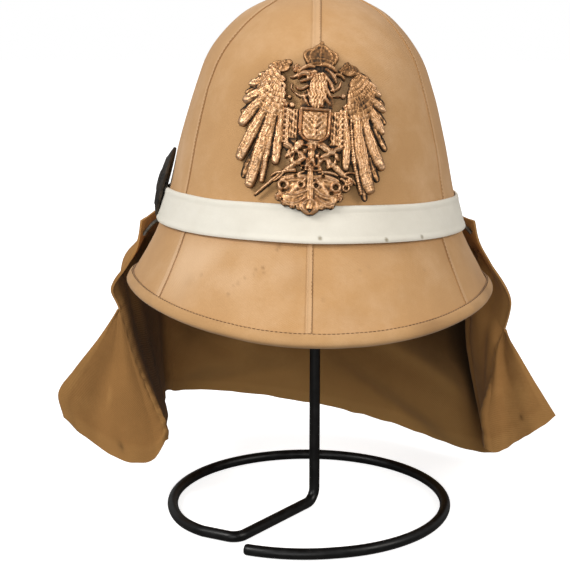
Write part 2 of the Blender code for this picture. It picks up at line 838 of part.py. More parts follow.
def curtain_fold(row, seat, share):
    """A point down one of the curtain's folds, from the band to the hem."""
    angle, top_off, edge_off, hem_x, hem_y, hem_z = row
    lift = BRIM_HALF_WIDTH
    # the cloth's half thickness, the binding and a gap lie under it at the edge
    top = seat @ brim_point(angle, 0.03, top_off * lift)
    slope = seat @ brim_point(angle, 0.50, (top_off + edge_off) / 2 * lift)
    edge = seat @ brim_point(angle, 1.00, edge_off * lift)
    hem = curtain_place(hem_x, hem_y, hem_z)
    hang = edge.lerp(hem, 0.45)
    hang += Vector((edge.x, edge.y, 0.0)).normalized() * edge_off * lift * 0.10
    knots = (0.0, 0.20, 0.42, 0.70, 1.0)
    return smooth_between(knots, (top, slope, edge, hang, hem), share)


def wing_place(front_rows, wing_rows, sag_rows, across, down):
    """A point on a turned-out wing: across from its fold to its free edge, and down."""
    turn_row = wing_turn(front_rows)
    fold = edge_curve(front_rows, turn_row + (1.0 - turn_row) * down)
    free = edge_curve(wing_rows, down)
    sag = smooth_between([row[0] for row in sag_rows], [row[1] for row in sag_rows], across)
    place = fold.lerp(free, across)
    place.z -= sag * SEAT_HEIGHT * down ** 2
    place.y -= sag * half_length() * 0.35 * down
    return place


def wing_turn(front_rows):
    """How far down the front edge the wing starts to turn out."""
    return front_rows[4][0]


def curtain_row(seat, down, wing_down):
    """The points that one row of the cloth runs through, with their knots."""
    wing_steps = (1.0, 0.75, 0.5, 0.25, 0.10)
    near = 0.16
    row = []
    left = edge_curve(LEFT_FRONT, down)
    right = edge_curve(RIGHT_FRONT, down)
    folds = [curtain_fold(fold, seat, down) for fold in CURTAIN_FOLDS]
    for step in wing_steps:
        place = left if wing_down is None else wing_place(LEFT_FRONT, LEFT_WING, LEFT_SAG, step, wing_down)
        row.append((-3.0 * step, place))
    row.append((0.0, left))
    row.append((near, left.lerp(folds[0], near)))
    for index, place in enumerate(folds):
        row.append((index + 1.0, place))
    last = len(folds) + 1.0
    row.append((last - near, right.lerp(folds[-1], near)))
    row.append((last, right))
    for step in reversed(wing_steps):
        place = right if wing_down is None else wing_place(RIGHT_FRONT, RIGHT_WING, RIGHT_SAG, step, wing_down)
        row.append((last + 3.0 * step, place))
    return row


def build_curtain(material, parent, seat):
    """The neck curtain: one sheet that hangs outside the brim, its front wings turned out."""
    last = len(CURTAIN_FOLDS) + 1
    main_places = [index / CURTAIN_STEPS for index in range(last * CURTAIN_STEPS + 1)]
    left_places = [-3.0, -2.4, -1.8, -1.2, -0.7, -0.3, -0.1]
    right_places = [last - place for place in reversed(left_places)]
    columns = left_places + main_places + right_places
    row_count = CURTAIN_UPPER_ROWS + CURTAIN_LOWER_ROWS + 1
    points = []
    names = {}
    turn = wing_turn(LEFT_FRONT)
    for row in range(row_count):
        if row <= CURTAIN_UPPER_ROWS:
            down, wing_down = turn * row / CURTAIN_UPPER_ROWS, None
        else:
            wing_down = (row - CURTAIN_UPPER_ROWS) / CURTAIN_LOWER_ROWS
            down = turn + (1.0 - turn) * wing_down
        controls = curtain_row(seat, down, wing_down)
        knots = [knot for knot, place in controls]
        places = [place for knot, place in controls]
        for column, place in enumerate(columns):
            inside = min(max(place, 0.0), float(last))
            if wing_down is None and inside != place:
                continue
            names[(row, column)] = len(points)
            points.append(smooth_between(knots, places, place))
    first_main, last_main = len(left_places), len(left_places) + len(main_places) - 1

    def corner(row, column):
        if (row, column) in names:
            return names[(row, column)]
        return names[(row, min(max(column, first_main), last_main))]

    faces = []
    for row in range(row_count - 1):
        for column in range(len(columns) - 1):
            around = [corner(row, column), corner(row + 1, column), corner(row + 1, column + 1), corner(row, column + 1)]
            face = list(dict.fromkeys(around))
            if len(face) > 2 and row_has(row, column, first_main, last_main):
                faces.append(tuple(face))
    curtain = add_object("neck_curtain", mesh_from("neck_curtain", points, faces), material, parent)
    thicken(curtain, CLOTH_THICKNESS, 0.0)
    return curtain


def row_has(row, column, first_main, last_main):
    """Whether the cloth has a face there: the wings start below the turn."""
    return first_main <= column < last_main or row >= CURTAIN_UPPER_ROWS


def swept_rod(name, path, width, sides, material, parent, aside):
    """A rod of even width along a path of points, one flat facing the aside direction."""
    radius = width / 2 / math.cos(math.pi / sides)
    points = []
    directions = []
    for index, place in enumerate(path):
        before, after = path[max(index - 1, 0)], path[min(index + 1, len(path) - 1)]
        directions.append((after - before).normalized())
    for index, place in enumerate(path):
        direction = directions[index]
        aside = (aside - direction * aside.dot(direction)).normalized()
        over = aside.cross(direction)
        for side in range(sides):
            turn = 2 * math.pi * (side + 0.5) / sides
            points.append(place + (aside * math.cos(turn) + over * math.sin(turn)) * radius)
    faces = []
    for index in range(len(path) - 1):
        for side in range(sides):
            after = (side + 1) % sides
            first, second = index * sides, (index + 1) * sides
            faces.append((first + side, first + after, second + after, second + side))
    faces.append(tuple(range(sides)))
    last = (len(path) - 1) * sides
    faces.append(tuple(last + side for side in reversed(range(sides))))
    mesh = outward(mesh_from(name, points, faces))
    return add_object(name, mesh, material, parent, 30.0)


def fillet(before, corner, after, radius, steps):
    """The points of a round bend in place of a corner."""
    arrive = (corner - before).normalized()
    leave = (after - corner).normalized()
    turn = arrive.angle(leave)
    reach = radius * math.tan(turn / 2)
    start, end = corner - arrive * reach, corner + leave * reach
    middle = start + (leave - arrive * arrive.dot(leave)).normalized() * radius
    points = []
    for step in range(steps + 1):
        swing = turn * step / steps
        out = (start - middle) * math.cos(swing) + arrive * radius * math.sin(swing)
        points.append(middle + out)
    return points, end


def ring_place(angle, radius, height):
    turn = math.radians(angle)
    return Vector((radius * math.cos(turn), radius * math.sin(turn), height))


def build_stand(material, parent, post_top):
    """One rod bent into a ring, a spoke to its middle and an upright post."""
    level = ROD_WIDTH / 2
    foot = Vector((POST_OFFSET.x, POST_OFFSET.y, level))
    joint = ring_place(RING_START_ANGLE, RING_START_RADIUS, level)
    steps = 40
    ring = []
    for step in range(1, steps + 1):
        share = step / steps
        settle = min(share / 0.10, 1.0)
        open_end = max(share - 0.90, 0.0) / 0.10
        radius = RING_START_RADIUS + (RING_RADIUS - RING_START_RADIUS) * math.sin(settle * math.pi / 2)
        radius += (RING_END_RADIUS - RING_RADIUS) * open_end
        ring.append(ring_place(RING_START_ANGLE - RING_SWEEP * share, radius, level))
    top = Vector((foot.x, foot.y, post_top))
    foot_bend, foot_end = fillet(top, foot, joint, FOOT_BEND_RADIUS, 6)
    joint_bend, joint_end = fillet(foot, joint, ring[1], RING_BEND_RADIUS, 6)
    path = [top] + [top.lerp(foot_bend[0], share) for share in (0.25, 0.5, 0.75)] + foot_bend
    path += [foot_end.lerp(joint_bend[0], 0.5)] + joint_bend + ring[1:]
    level_aside = (joint - foot).cross(Vector((0.0, 0.0, 1.0)))
    return swept_rod("stand_rod", path, ROD_WIDTH, 8, material, parent, level_aside)


def build_knob(material, parent, post_top, knob_middle):
    """The round knob on the post that carries the crown from inside."""
    rows, sides = 6, 16
    points = []
    socket = post_top + GAP - knob_middle.z
    lowest = math.acos(max(min(socket / KNOB_RADIUS, 1.0), -1.0))
    for row in range(1, rows + 1):
        swing = lowest * row / rows
        for side in range(sides):
            turn = 2 * math.pi * side / sides
            out = Vector((math.sin(turn), -math.cos(turn), 0.0)) * math.sin(swing) * KNOB_RADIUS
            points.append(knob_middle + out + Vector((0.0, 0.0, math.cos(swing) * KNOB_RADIUS)))
    faces = ring_faces(rows, sides)
    top = len(points)
    points.append(knob_middle + Vector((0.0, 0.0, KNOB_RADIUS)))
    faces += [(top, side, (side + 1) % sides) for side in range(sides)]
    last = top - sides
    faces.append(tuple(last + side for side in reversed(range(sides))))
    return add_object("stand_knob", outward(mesh_from("stand_knob", points, faces)), material, parent)


def knob_place(seat):
    """Where the knob's middle lies so that it just meets the crown's inner top."""
    below = seat.inverted()
    post = Vector((POST_OFFSET.x, POST_OFFSET.y, SEAT_HEIGHT + CROWN_HEIGHT))
    low, high = SEAT_HEIGHT, SEAT_HEIGHT + CROWN_HEIGHT
    for _ in range(40):
        post.z = (low + high) / 2
        local = below @ post
        share = math.hypot(local.x / CROWN_HALF_WIDTH, local.y / CROWN_HALF_LENGTH)
        wall_share = (CROWN_HEIGHT - CROWN_WALL) / CROWN_HEIGHT
        inside = local.z / wall_share < CROWN_HEIGHT and crown_share(local.z / wall_share / CROWN_HEIGHT) > share
        if inside:
            low = post.z
        else:
            high = post.z
    return Vector((post.x, post.y, low - KNOB_RADIUS - KNOB_CLEARANCE))


def build_hook(name, side, material, parent, seat):
    """A small wire hook that holds the curtain's front corner to the brim."""
    angle = 106.0 if side > 0 else 254.0
    front = RIGHT_FRONT if side > 0 else LEFT_FRONT
    fold = CURTAIN_FOLDS[-1] if side > 0 else CURTAIN_FOLDS[0]
    cloth = edge_curve(front, 0.10).lerp(curtain_fold(fold, seat, 0.10), 0.12)
    start = seat @ brim_point(angle, 0.10, GAP + HOOK_WIRE)
    toward = (start - cloth).normalized()
    end = cloth + toward * (CLOTH_THICKNESS / 2 + HOOK_WIRE + HOOK_CLEARANCE)
    rise = Vector((0.0, 0.0, HOOK_WIRE * 3))
    path = []
    for step in range(7):
        share = step / 6
        path.append(start.lerp(end, share) + rise * math.sin(share * math.pi))
    return swept_rod(name, path, HOOK_WIRE * 2, 6, material, parent, rise.cross(toward))


def seat_matrix():
    """The turn, roll and tilt of the helmet on the stand, and its place."""
    place = Matrix.Translation((SEAT_OFFSET.x, SEAT_OFFSET.y, SEAT_HEIGHT))
    roll = Matrix.Rotation(math.radians(ROLL_RIGHT), 4, "Y")
    tilt = Matrix.Rotation(-math.radians(TILT_BACK), 4, "X")
    turn = Matrix.Rotation(math.radians(TURN), 4, "Z")
    return place @ roll @ tilt @ turn


def centre_on_origin(root):
    """Move the whole model so that its box stands centred on the origin."""
    bpy.context.view_layer.update()
    graph = bpy.context.evaluated_depsgraph_get()
    low = Vector((1.0, 1.0, 1.0)) * 10.0
    high = -low
    for piece in bpy.context.scene.objects:
        if piece.type != "MESH" or piece.hide_render:
            continue
        shape = piece.evaluated_get(graph)
        for vertex in shape.data.vertices:
            place = piece.matrix_world @ vertex.co
            low = Vector(map(min, low, place))
            high = Vector(map(max, high, place))
    root.location = (-(low.x + high.x) / 2, -(low.y + high.y) / 2, -low.z)


def empty(name, parent=None):
    holder = bpy.data.objects.new(name, None)
    bpy.context.scene.collection.objects.link(holder)
    holder.parent = parent
    return holder


def build():
    clear_scene()
    root = empty("stand_middle")
    helmet = empty("helmet_seat", root)
    seat = seat_matrix()
    helmet.matrix_local = seat
    khaki = finish("khaki_cover", (0.62, 0.38, 0.17), 0.9)
    edge_cloth = finish("khaki_binding", (0.62, 0.38, 0.17), 0.9)
    white = finish("white_band", (0.83, 0.81, 0.74), 0.85)
    drill = finish("curtain_drill", (0.38, 0.19, 0.06), 0.92)
    gilt = finish("gilt_brass", (0.70, 0.45, 0.20), 0.35, 1.0)
    dark_metal = finish("dark_cockade", (0.05, 0.05, 0.05), 0.45, 0.8)
    steel = finish("plain_steel", (0.5, 0.5, 0.5), 0.4, 1.0)
    black = finish("black_rod", (0.008, 0.008, 0.008), 0.4)
    build_crown(khaki, helmet)
    build_brim(khaki, helmet)
    build_binding(edge_cloth, helmet)
    build_band(white, helmet)
    build_button(khaki, helmet)
    build_plate(gilt, helmet)
    build_cockade(dark_metal, helmet)
    build_cockade_stud(steel, helmet)
    build_curtain(drill, root, seat)
    build_hook("curtain_hook_left", -1, steel, root, seat)
    build_hook("curtain_hook_right", 1, steel, root, seat)
    knob = knob_place(seat)
    post_top = knob.z - KNOB_RADIUS * 0.5
    build_stand(black, root, post_top)
    build_knob(black, root, post_top, knob)
    centre_on_origin(root)


build()
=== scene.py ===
"""Looks for the cloth-covered sun helmet on its wire stand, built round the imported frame."""
import math

import bpy
import bmesh
import numpy as np
from mathutils import Matrix, Vector


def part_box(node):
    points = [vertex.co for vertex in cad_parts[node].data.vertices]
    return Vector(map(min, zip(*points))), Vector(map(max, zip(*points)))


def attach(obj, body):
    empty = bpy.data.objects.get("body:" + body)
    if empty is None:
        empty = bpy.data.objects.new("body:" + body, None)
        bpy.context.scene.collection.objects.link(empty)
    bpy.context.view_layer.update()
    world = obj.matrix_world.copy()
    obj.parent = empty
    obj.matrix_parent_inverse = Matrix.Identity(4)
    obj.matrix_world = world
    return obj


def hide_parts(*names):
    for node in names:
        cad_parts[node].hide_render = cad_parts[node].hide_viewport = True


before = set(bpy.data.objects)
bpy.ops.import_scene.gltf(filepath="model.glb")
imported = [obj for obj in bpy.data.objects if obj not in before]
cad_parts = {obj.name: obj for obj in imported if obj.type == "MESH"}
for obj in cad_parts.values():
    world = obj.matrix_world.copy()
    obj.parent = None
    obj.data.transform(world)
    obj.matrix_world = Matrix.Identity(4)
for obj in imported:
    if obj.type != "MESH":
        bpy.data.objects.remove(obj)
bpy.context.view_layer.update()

# Sizes of the helmet and the stand, in metres, as the frame holds them.
CROWN_HALF_WIDTH = 0.1000
CROWN_HALF_LENGTH = 0.1240
CROWN_HEIGHT = 0.1500
CROWN_WALL = 0.0030
BRIM_HALF_WIDTH = 0.1207
CURTAIN_HALF_WIDTH = 0.1230
BRIM_LAP = 0.0012
BRIM_FRONT_REACH = 0.1570
BRIM_BACK_REACH = 0.1650
BRIM_FRONT_DROP = 0.0540
BRIM_SIDE_DROP = 0.0400
BRIM_BACK_DROP = 0.0600
BRIM_WALL = 0.0025
BINDING_DEPTH = 0.0085
BINDING_WALL = 0.0009
BAND_HEIGHT = 0.0220
BAND_WALL = 0.0015
WELT_HEIGHT = 0.0006
GAP = 0.0003
ROD_WIDTH = 0.0073
RING_RADIUS = 0.0950
RING_START_RADIUS = 0.0845
RING_END_RADIUS = 0.0975
RING_START_ANGLE = -123.0
RING_SWEEP = 351.5
FOOT_BEND_RADIUS = 0.0090
RING_BEND_RADIUS = 0.0085
POST_X = 0.0039
SEAT_HEIGHT = 0.2021
SEAT_OFFSET = (0.0005, -0.0050)
TILT_BACK = 3.3
ROLL_RIGHT = 1.2
TURN = 2.0

CROWN_PROFILE = (
    # height share, width share
    (0.000, 1.000),
    (0.175, 0.927),
    (0.350, 0.874),
    (0.500, 0.815),
    (0.610, 0.765),
    (0.706, 0.712),
    (0.790, 0.635),
    (0.880, 0.513),
    (0.930, 0.410),
    (0.970, 0.275),
    (1.000, 0.000),
)
BRIM_PROFILE = (
    # out share, down share
    (0.00, 0.00),
    (0.26, 0.30),
    (0.52, 0.57),
    (0.78, 0.82),
    (1.00, 1.00),
)

# The seams: angle from the front, the side of the strip with the folded edge, half width
CROWN_SEAMS = (
    (-1.6, 1, 0.0023), (59.4, -1, 0.0013), (129.0, -1, 0.0018),
    (180.0, 1, 0.0023), (231.0, 1, 0.0018), (300.9, 1, 0.0013),
)
BRIM_SEAMS = (
    (-2.3, 1, 0.0017), (52.8, -1, 0.0017), (129.0, -1, 0.0017),
    (180.0, 1, 0.0017), (231.0, 1, 0.0017), (306.4, 1, 0.0019),
)
# How the left seam of the crown bends forward near the top
SEAM_BEND = (
    # way up the crown, degrees
    (0.00, 0.9), (0.05, 0.2), (0.09, -1.4), (0.105, 0.0), (0.118, 2.0), (0.137, 6.0),
    (0.155, 12.0), (0.30, 16.0),
)
STRIP_COLUMNS = (-1.9, -1.25, -1.0, -0.82, -0.5, 0.0, 0.5, 0.78, 0.93, 1.0, 1.06, 1.3, 1.9)

# Materials


def linear(code):
    """Turn an sRGB hex colour into linear red, green, blue and alpha."""
    channels = [int(code[i:i + 2], 16) / 255 for i in (0, 2, 4)]
    straight = [c / 12.92 if c <= 0.04045 else ((c + 0.055) / 1.055) ** 2.4 for c in channels]
    return (*straight, 1.0)


def add(tree, kind, inputs=None, **settings):
    """Add one node with its settings; an input is a value or another node's socket."""
    node = tree.nodes.new(kind)
    for name, value in settings.items():
        setattr(node, name, value)
    for key, value in (inputs or {}).items():
        socket = node.inputs[key]
        if isinstance(value, bpy.types.NodeSocket):
            tree.links.new(value, socket)
        else:
            socket.default_value = value
    return node


def new_finish(name):
    """A material with its shader, ready for its pattern."""
    material = bpy.data.materials.new(name)
    material.use_nodes = True
    tree = material.node_tree
    return material, tree, tree.nodes["Principled BSDF"]


def ramp(tree, factor, stops, interpolation="LINEAR"):
    node = add(tree, "ShaderNodeValToRGB", {"Fac": factor})
    band = node.color_ramp
    band.interpolation = interpolation
    while len(band.elements) < len(stops):
        band.elements.new(0.5)
    for element, (place, colour) in zip(band.elements, stops):
        element.position = place
        element.color = linear(colour) if isinstance(colour, str) else (colour, colour, colour, 1.0)
    return node.outputs["Color"]


def mix_colour(tree, factor, first, second, blend="MIX"):
    node = add(tree, "ShaderNodeMix", {"Factor": factor}, data_type="RGBA", blend_type=blend)
    for key, value in ((6, first), (7, second)):
        if isinstance(value, bpy.types.NodeSocket):
            tree.links.new(value, node.inputs[key])
        else:
            node.inputs[key].default_value = value
    return node.outputs[2]


def sum_of(tree, first, second, operation="ADD", clamp=False):
    node = add(tree, "ShaderNodeMath", {0: first, 1: second}, operation=operation, use_clamp=clamp)
    return node.outputs[0]


def attribute(tree, name):
    return add(tree, "ShaderNodeAttribute", attribute_name=name).outputs["Fac"]


def cloth(name, dark, middle, light, thread, tilt, weave_depth, stain_and_shade, sheen=0.15):
    """Woven cotton, dyed and faded: a fine twill, soft blotches and rubbed, dusty edges, with painted shade
    and painted light mixed in from each piece's values.
    """
    material, tree, shader = new_finish(name)
    place = add(tree, "ShaderNodeTexCoord")
    surface = place.outputs["Object"]
    blotch = add(
        tree, "ShaderNodeTexNoise", {"Vector": surface, "Scale": 11.0, "Detail": 4.0, "Roughness": 0.62}
    ).outputs["Fac"]
    cloud = add(
        tree, "ShaderNodeTexNoise", {"Vector": surface, "Scale": 34.0, "Detail": 5.0, "Roughness": 0.7}
    ).outputs["Fac"]
    both = sum_of(tree, sum_of(tree, blotch, 0.62, "MULTIPLY"), sum_of(tree, cloud, 0.38, "MULTIPLY"))
    colour = ramp(tree, both, ((0.24, dark), (0.5, middle), (0.84, light)))
    fleck = add(tree, "ShaderNodeTexNoise", {"Vector": surface, "Scale": 620.0, "Detail": 2.0}).outputs["Fac"]
    colour = mix_colour(tree, ramp(tree, fleck, ((0.35, 0.0), (0.7, 0.16))), colour, linear(dark))
    # Darkened towards the stain colour by the piece's value: real dirt, plus painted shade along seams, at
    # the binding's inner edges, beside the crown and inside the curtain.
    grime = attribute(tree, "grime")
    colour = mix_colour(tree, grime, colour, linear(stain_and_shade))
    # Lightened towards the light colour by the piece's value: real wear, plus a painted highlight on the
    # brim's left and painted light on the curtain's back, fold and hem.
    rub = attribute(tree, "rub")
    colour = mix_colour(tree, rub, colour, linear(light))
    tree.links.new(colour, shader.inputs["Base Color"])
    shader.inputs["Roughness"].default_value = 0.92
    shader.inputs["Sheen Weight"].default_value = sheen
    shader.inputs["Sheen Roughness"].default_value = 0.5
    shader.inputs["Specular IOR Level"].default_value = 0.25
    turned = add(
        tree, "ShaderNodeMapping", {"Vector": place.outputs["UV"], "Rotation": (0, 0, math.radians(tilt))}
    ).outputs[0]
    twill = add(
        tree, "ShaderNodeTexWave",
        {"Vector": turned, "Scale": 0.314 / thread, "Distortion": 0.6, "Detail": 1.0, "Detail Scale": 2.0},
        bands_direction="X",
    ).outputs["Fac"]
    nap = add(tree, "ShaderNodeTexNoise", {"Vector": surface, "Scale": 900.0, "Detail": 3.0}).outputs["Fac"]
    weave = sum_of(tree, sum_of(tree, twill, 0.6, "MULTIPLY"), sum_of(tree, nap, 0.5, "MULTIPLY"))
    bump = add(tree, "ShaderNodeBump", {"Height": weave, "Strength": weave_depth, "Distance": 0.0003})
    tree.links.new(bump.outputs["Normal"], shader.inputs["Normal"])
    return material


def lacquer():
    """Black stove enamel on drawn steel rod: deep black, satin, with faint orange peel."""
    material, tree, shader = new_finish("black_stove_enamel")
    place = add(tree, "ShaderNodeTexCoord").outputs["Object"]
    speck = add(tree, "ShaderNodeTexNoise", {"Vector": place, "Scale": 180.0, "Detail": 3.0}).outputs["Fac"]
    tree.links.new(ramp(tree, speck, ((0.4, "0c0c0c"), (0.75, "171717"))), shader.inputs["Base Color"])
    tree.links.new(ramp(tree, speck, ((0.35, 0.30), (0.7, 0.44))), shader.inputs["Roughness"])
    shader.inputs["Specular IOR Level"].default_value = 0.32
    peel = add(tree, "ShaderNodeTexNoise", {"Vector": place, "Scale": 420.0, "Detail": 2.0}).outputs["Fac"]
    bump = add(tree, "ShaderNodeBump", {"Height": peel, "Strength": 0.12, "Distance": 0.0004})
    tree.links.new(bump.outputs["Normal"], shader.inputs["Normal"])
    return material


def gilt():
    """Cast brass, fire-gilt and worn: warm light tips, brown-black tarnish in the recesses, and painted shade
    on the side away from the light.
    """
    material, tree, shader = new_finish("worn_gilt_brass")
    place = add(tree, "ShaderNodeTexCoord").outputs["Object"]
    # This value holds tarnish in the hollows, plus painted shade on the lower right rims and over the right
    # wing.
    recess = attribute(tree, "recess")
    cloud = add(
        tree, "ShaderNodeTexNoise", {"Vector": place, "Scale": 260.0, "Detail": 4.0, "Roughness": 0.7}
    ).outputs["Fac"]
    patch = add(tree, "ShaderNodeTexNoise", {"Vector": place, "Scale": 38.0, "Detail": 3.0}).outputs["Fac"]
    dirt_and_shade = sum_of(
        tree, recess, sum_of(tree, sum_of(tree, cloud, 0.5, "SUBTRACT"), 0.55, "MULTIPLY"), clamp=True
    )
    dirt_and_shade = sum_of(
        tree, dirt_and_shade, sum_of(tree, sum_of(tree, patch, 0.62, "SUBTRACT"), 1.2, "MULTIPLY", clamp=True),
        clamp=True
    )
    colour = ramp(
        tree, dirt_and_shade, ((0.0, "dfb48c"), (0.22, "c39466"), (0.46, "8e6640"), (0.70, "533e2a"), (1.0, "1e170f"))
    )
    tree.links.new(colour, shader.inputs["Base Color"])
    tree.links.new(ramp(tree, dirt_and_shade, ((0.0, 0.42), (0.6, 0.62), (1.0, 0.9))), shader.inputs["Roughness"])
    tree.links.new(ramp(tree, dirt_and_shade, ((0.3, 0.9), (0.95, 0.25))), shader.inputs["Metallic"])
    grain = add(tree, "ShaderNodeTexNoise", {"Vector": place, "Scale": 1500.0, "Detail": 3.0}).outputs["Fac"]
    bump = add(tree, "ShaderNodeBump", {"Height": grain, "Strength": 0.25, "Distance": 0.0002})
    tree.links.new(bump.outputs["Normal"], shader.inputs["Normal"])
    return material


def dull_metal(name, dark, light, roughness, metallic=1.0):
    """Blackened or greyed metal, in soft random patches of darker and lighter tone."""
    material, tree, shader = new_finish(name)
    place = add(tree, "ShaderNodeTexCoord").outputs["Object"]
    cloud = add(tree, "ShaderNodeTexNoise", {"Vector": place, "Scale": 240.0, "Detail": 4.0}).outputs["Fac"]
    tree.links.new(ramp(tree, cloud, ((0.35, dark), (0.7, light))), shader.inputs["Base Color"])
    tree.links.new(
        ramp(tree, cloud, ((0.3, roughness), (0.7, min(roughness + 0.2, 1.0)))), shader.inputs["Roughness"]
    )
    shader.inputs["Metallic"].default_value = metallic
    return material


khaki = cloth("khaki_cotton_twill", "bf9160", "ca9d6b", "e6c19a", 0.0012, 62.0, 0.30, "7d5733")
binding_cloth = cloth("khaki_twill_binding", "b58a5b", "c59a69", "dcb68c", 0.0012, 45.0, 0.30, "745232")
# The drill's stain colour is near black, so its darkening value also paints deep shade inside the curtain.
drill = cloth("tan_cotton_drill", "946a3a", "a87a46", "ca9b5e", 0.0012, 60.0, 0.5, "241606", sheen=0.08)
white_cotton = cloth(
    "white_cotton_tape", "e6e0d2", "eee9dc", "f4f1e7", 0.0009, 90.0, 0.2, "8d8168", sheen=0.1
)
seam_thread = cloth("waxed_khaki_thread", "8a6338", "9c7243", "b08650", 0.0006, 0.0, 0.2, "6b4a24")
stitch_thread = cloth("waxed_linen_thread", "54391f", "664828", "7a5934", 0.0006, 0.0, 0.2, "4a3219")
enamel = lacquer()
gilded = gilt()
cockade_metal = dull_metal("blackened_cockade_metal", "2a2622", "5a5148", 0.42, 0.8)
wire_metal = dull_metal("greyed_steel_wire", "4a4844", "8c8880", 0.4)

# Shapes worked out with arrays of points


def smooth(knots, values, places):
    """Read a smooth curve through the values, which stand at the knots."""
    knots = np.asarray(knots, float)
    values = np.asarray(values, float)
    flat = values.reshape(len(knots), -1)
    slopes = np.empty_like(flat)
    slopes[1:-1] = (flat[2:] - flat[:-2]) / (knots[2:] - knots[:-2])[:, None]
    slopes[0] = (flat[1] - flat[0]) / (knots[1] - knots[0])
    slopes[-1] = (flat[-1] - flat[-2]) / (knots[-1] - knots[-2])
    places = np.asarray(places, float)
    at = np.clip(np.searchsorted(knots, places.ravel(), side="left") - 1, 0, len(knots) - 2)
    width = (knots[at + 1] - knots[at])[:, None]
    t = (places.ravel() - knots[at])[:, None] / width
    out = flat[at] * (2 * t ** 3 - 3 * t ** 2 + 1) + slopes[at] * width * (t ** 3 - 2 * t ** 2 + t)
    out += flat[at + 1] * (3 * t ** 2 - 2 * t ** 3) + slopes[at + 1] * width * (t ** 3 - t ** 2)
    return out.reshape(places.shape + values.shape[1:])


def unit(vectors):
    return vectors / np.maximum(np.linalg.norm(vectors, axis=-1, keepdims=True), 1e-12)


def noise(points, size, seed):
    """Soft lumps between -1 and 1, about one size apart."""
    q = np.asarray(points, float) / size + seed * 17.37
    base = np.floor(q)
    part = q - base
    part = part * part * (3 - 2 * part)
    total = 0.0
    for corner in range(8):
        step = np.array([corner & 1, corner >> 1 & 1, corner >> 2 & 1])
        cell = base + step
        mixed = np.sin(cell @ np.array([12.9898, 78.233, 37.719])) * 43758.5453
        value = mixed - np.floor(mixed)
        weight = np.prod(np.where(step == 1, part, 1 - part), axis=-1)
        total = total + weight * value
    return total * 2 - 1


def bell(x, width):
    return np.exp(-(x / width) ** 2)


def ease(x, start, stop):
    t = np.clip((x - start) / (stop - start), 0, 1)
    return t * t * (3 - 2 * t)


def crown_curve():
    """Even steps along the crown's outline: height share, width share and their slopes."""
    rows = np.array(CROWN_PROFILE)
    steps = np.hypot(np.diff(rows[:, 0]) * CROWN_HEIGHT, np.diff(rows[:, 1]) * CROWN_HALF_WIDTH)
    knots = np.concatenate([[0], np.cumsum(steps)])
    rows = np.vstack([rows, [rows[-2, 0], -rows[-2, 1]]])
    knots = np.append(knots, 2 * knots[-1] - knots[-2])
    places = np.linspace(0, knots[-2], 1001)
    curve = smooth(knots, rows, places)
    return places, np.minimum(curve[:, 0], 1.0), np.maximum(curve[:, 1], 0.0)


ARC, ARC_HEIGHT, ARC_WIDTH = crown_curve()
ARC_LENGTH = ARC[-1]


def crown_surface(angle, arc, lift=0.0):
    """Points of the crown's cloth and the directions out of it, in the helmet's frame."""
    angle, arc = np.broadcast_arrays(np.radians(angle), arc)
    height = np.interp(arc, ARC, ARC_HEIGHT) * CROWN_HEIGHT
    width = np.interp(arc, ARC, ARC_WIDTH)
    rise = np.interp(arc, ARC, np.gradient(ARC_HEIGHT * CROWN_HEIGHT, ARC))
    spread = np.interp(arc, ARC, np.gradient(ARC_WIDTH, ARC))
    across, along = np.sin(angle), -np.cos(angle)
    normal = unit(np.stack([
        CROWN_HALF_LENGTH * rise * across,
        CROWN_HALF_WIDTH * rise * along,
        -CROWN_HALF_LENGTH * CROWN_HALF_WIDTH * spread,
    ], -1))
    points = np.stack([CROWN_HALF_WIDTH * width * across, CROWN_HALF_LENGTH * width * along, height], -1)
    return points + normal * np.asarray(lift)[..., None], normal


def arc_at(height):
    """How far along the crown's outline a height above its base lies."""
    return np.interp(height / CROWN_HEIGHT, ARC_HEIGHT, ARC)


def binding_reach():
    return GAP + BINDING_WALL + BRIM_WALL / 4


def brim_flat(angle, share):
    """Points of the brim's upper face, from 0 at the crown to 1 at its own edge."""
    degrees, share = np.broadcast_arrays(np.asarray(angle, float), np.asarray(share, float))
    turn = np.radians(degrees)
    forward = np.cos(turn)
    half_length = (BRIM_FRONT_REACH + BRIM_BACK_REACH) / 2
    middle = (BRIM_BACK_REACH - BRIM_FRONT_REACH) / 2
    end_drop = np.where(forward > 0, BRIM_FRONT_DROP, BRIM_BACK_DROP)
    drop = BRIM_SIDE_DROP + (end_drop - BRIM_SIDE_DROP) * forward ** 2
    outline = np.stack([BRIM_HALF_WIDTH * np.sin(turn), middle - half_length * forward, -drop], -1)
    inner = np.stack([CROWN_HALF_WIDTH * np.sin(turn), -CROWN_HALF_LENGTH * forward, 0 * turn], -1)
    edge = outline - unit(outline - inner) * binding_reach()
    inner = inner * (1 - BRIM_LAP / CROWN_HALF_WIDTH)
    inner[..., 2] = GAP
    downs = np.linspace(0, 1, len(BRIM_PROFILE))
    shares = smooth(downs, BRIM_PROFILE, share)
    out, down = shares[..., 0], shares[..., 1]
    return np.stack([
        inner[..., 0] + (edge[..., 0] - inner[..., 0]) * out,
        inner[..., 1] + (edge[..., 1] - inner[..., 1]) * out,
        inner[..., 2] + (edge[..., 2] - inner[..., 2]) * down,
    ], -1)


def brim_surface(angle, share, lift=0.0):
    """Points of the brim, lifted off its upper face, and the directions out of it."""
    step = 0.01
    share = np.asarray(share, float)
    down = brim_flat(angle, np.minimum(share + step, 1)) - brim_flat(angle, np.maximum(share - step, 0))
    around = brim_flat(np.asarray(angle) + 0.5, share) - brim_flat(np.asarray(angle) - 0.5, share)
    normal = unit(np.cross(around, -down))
    return brim_flat(angle, share) + normal * np.asarray(lift)[..., None], normal


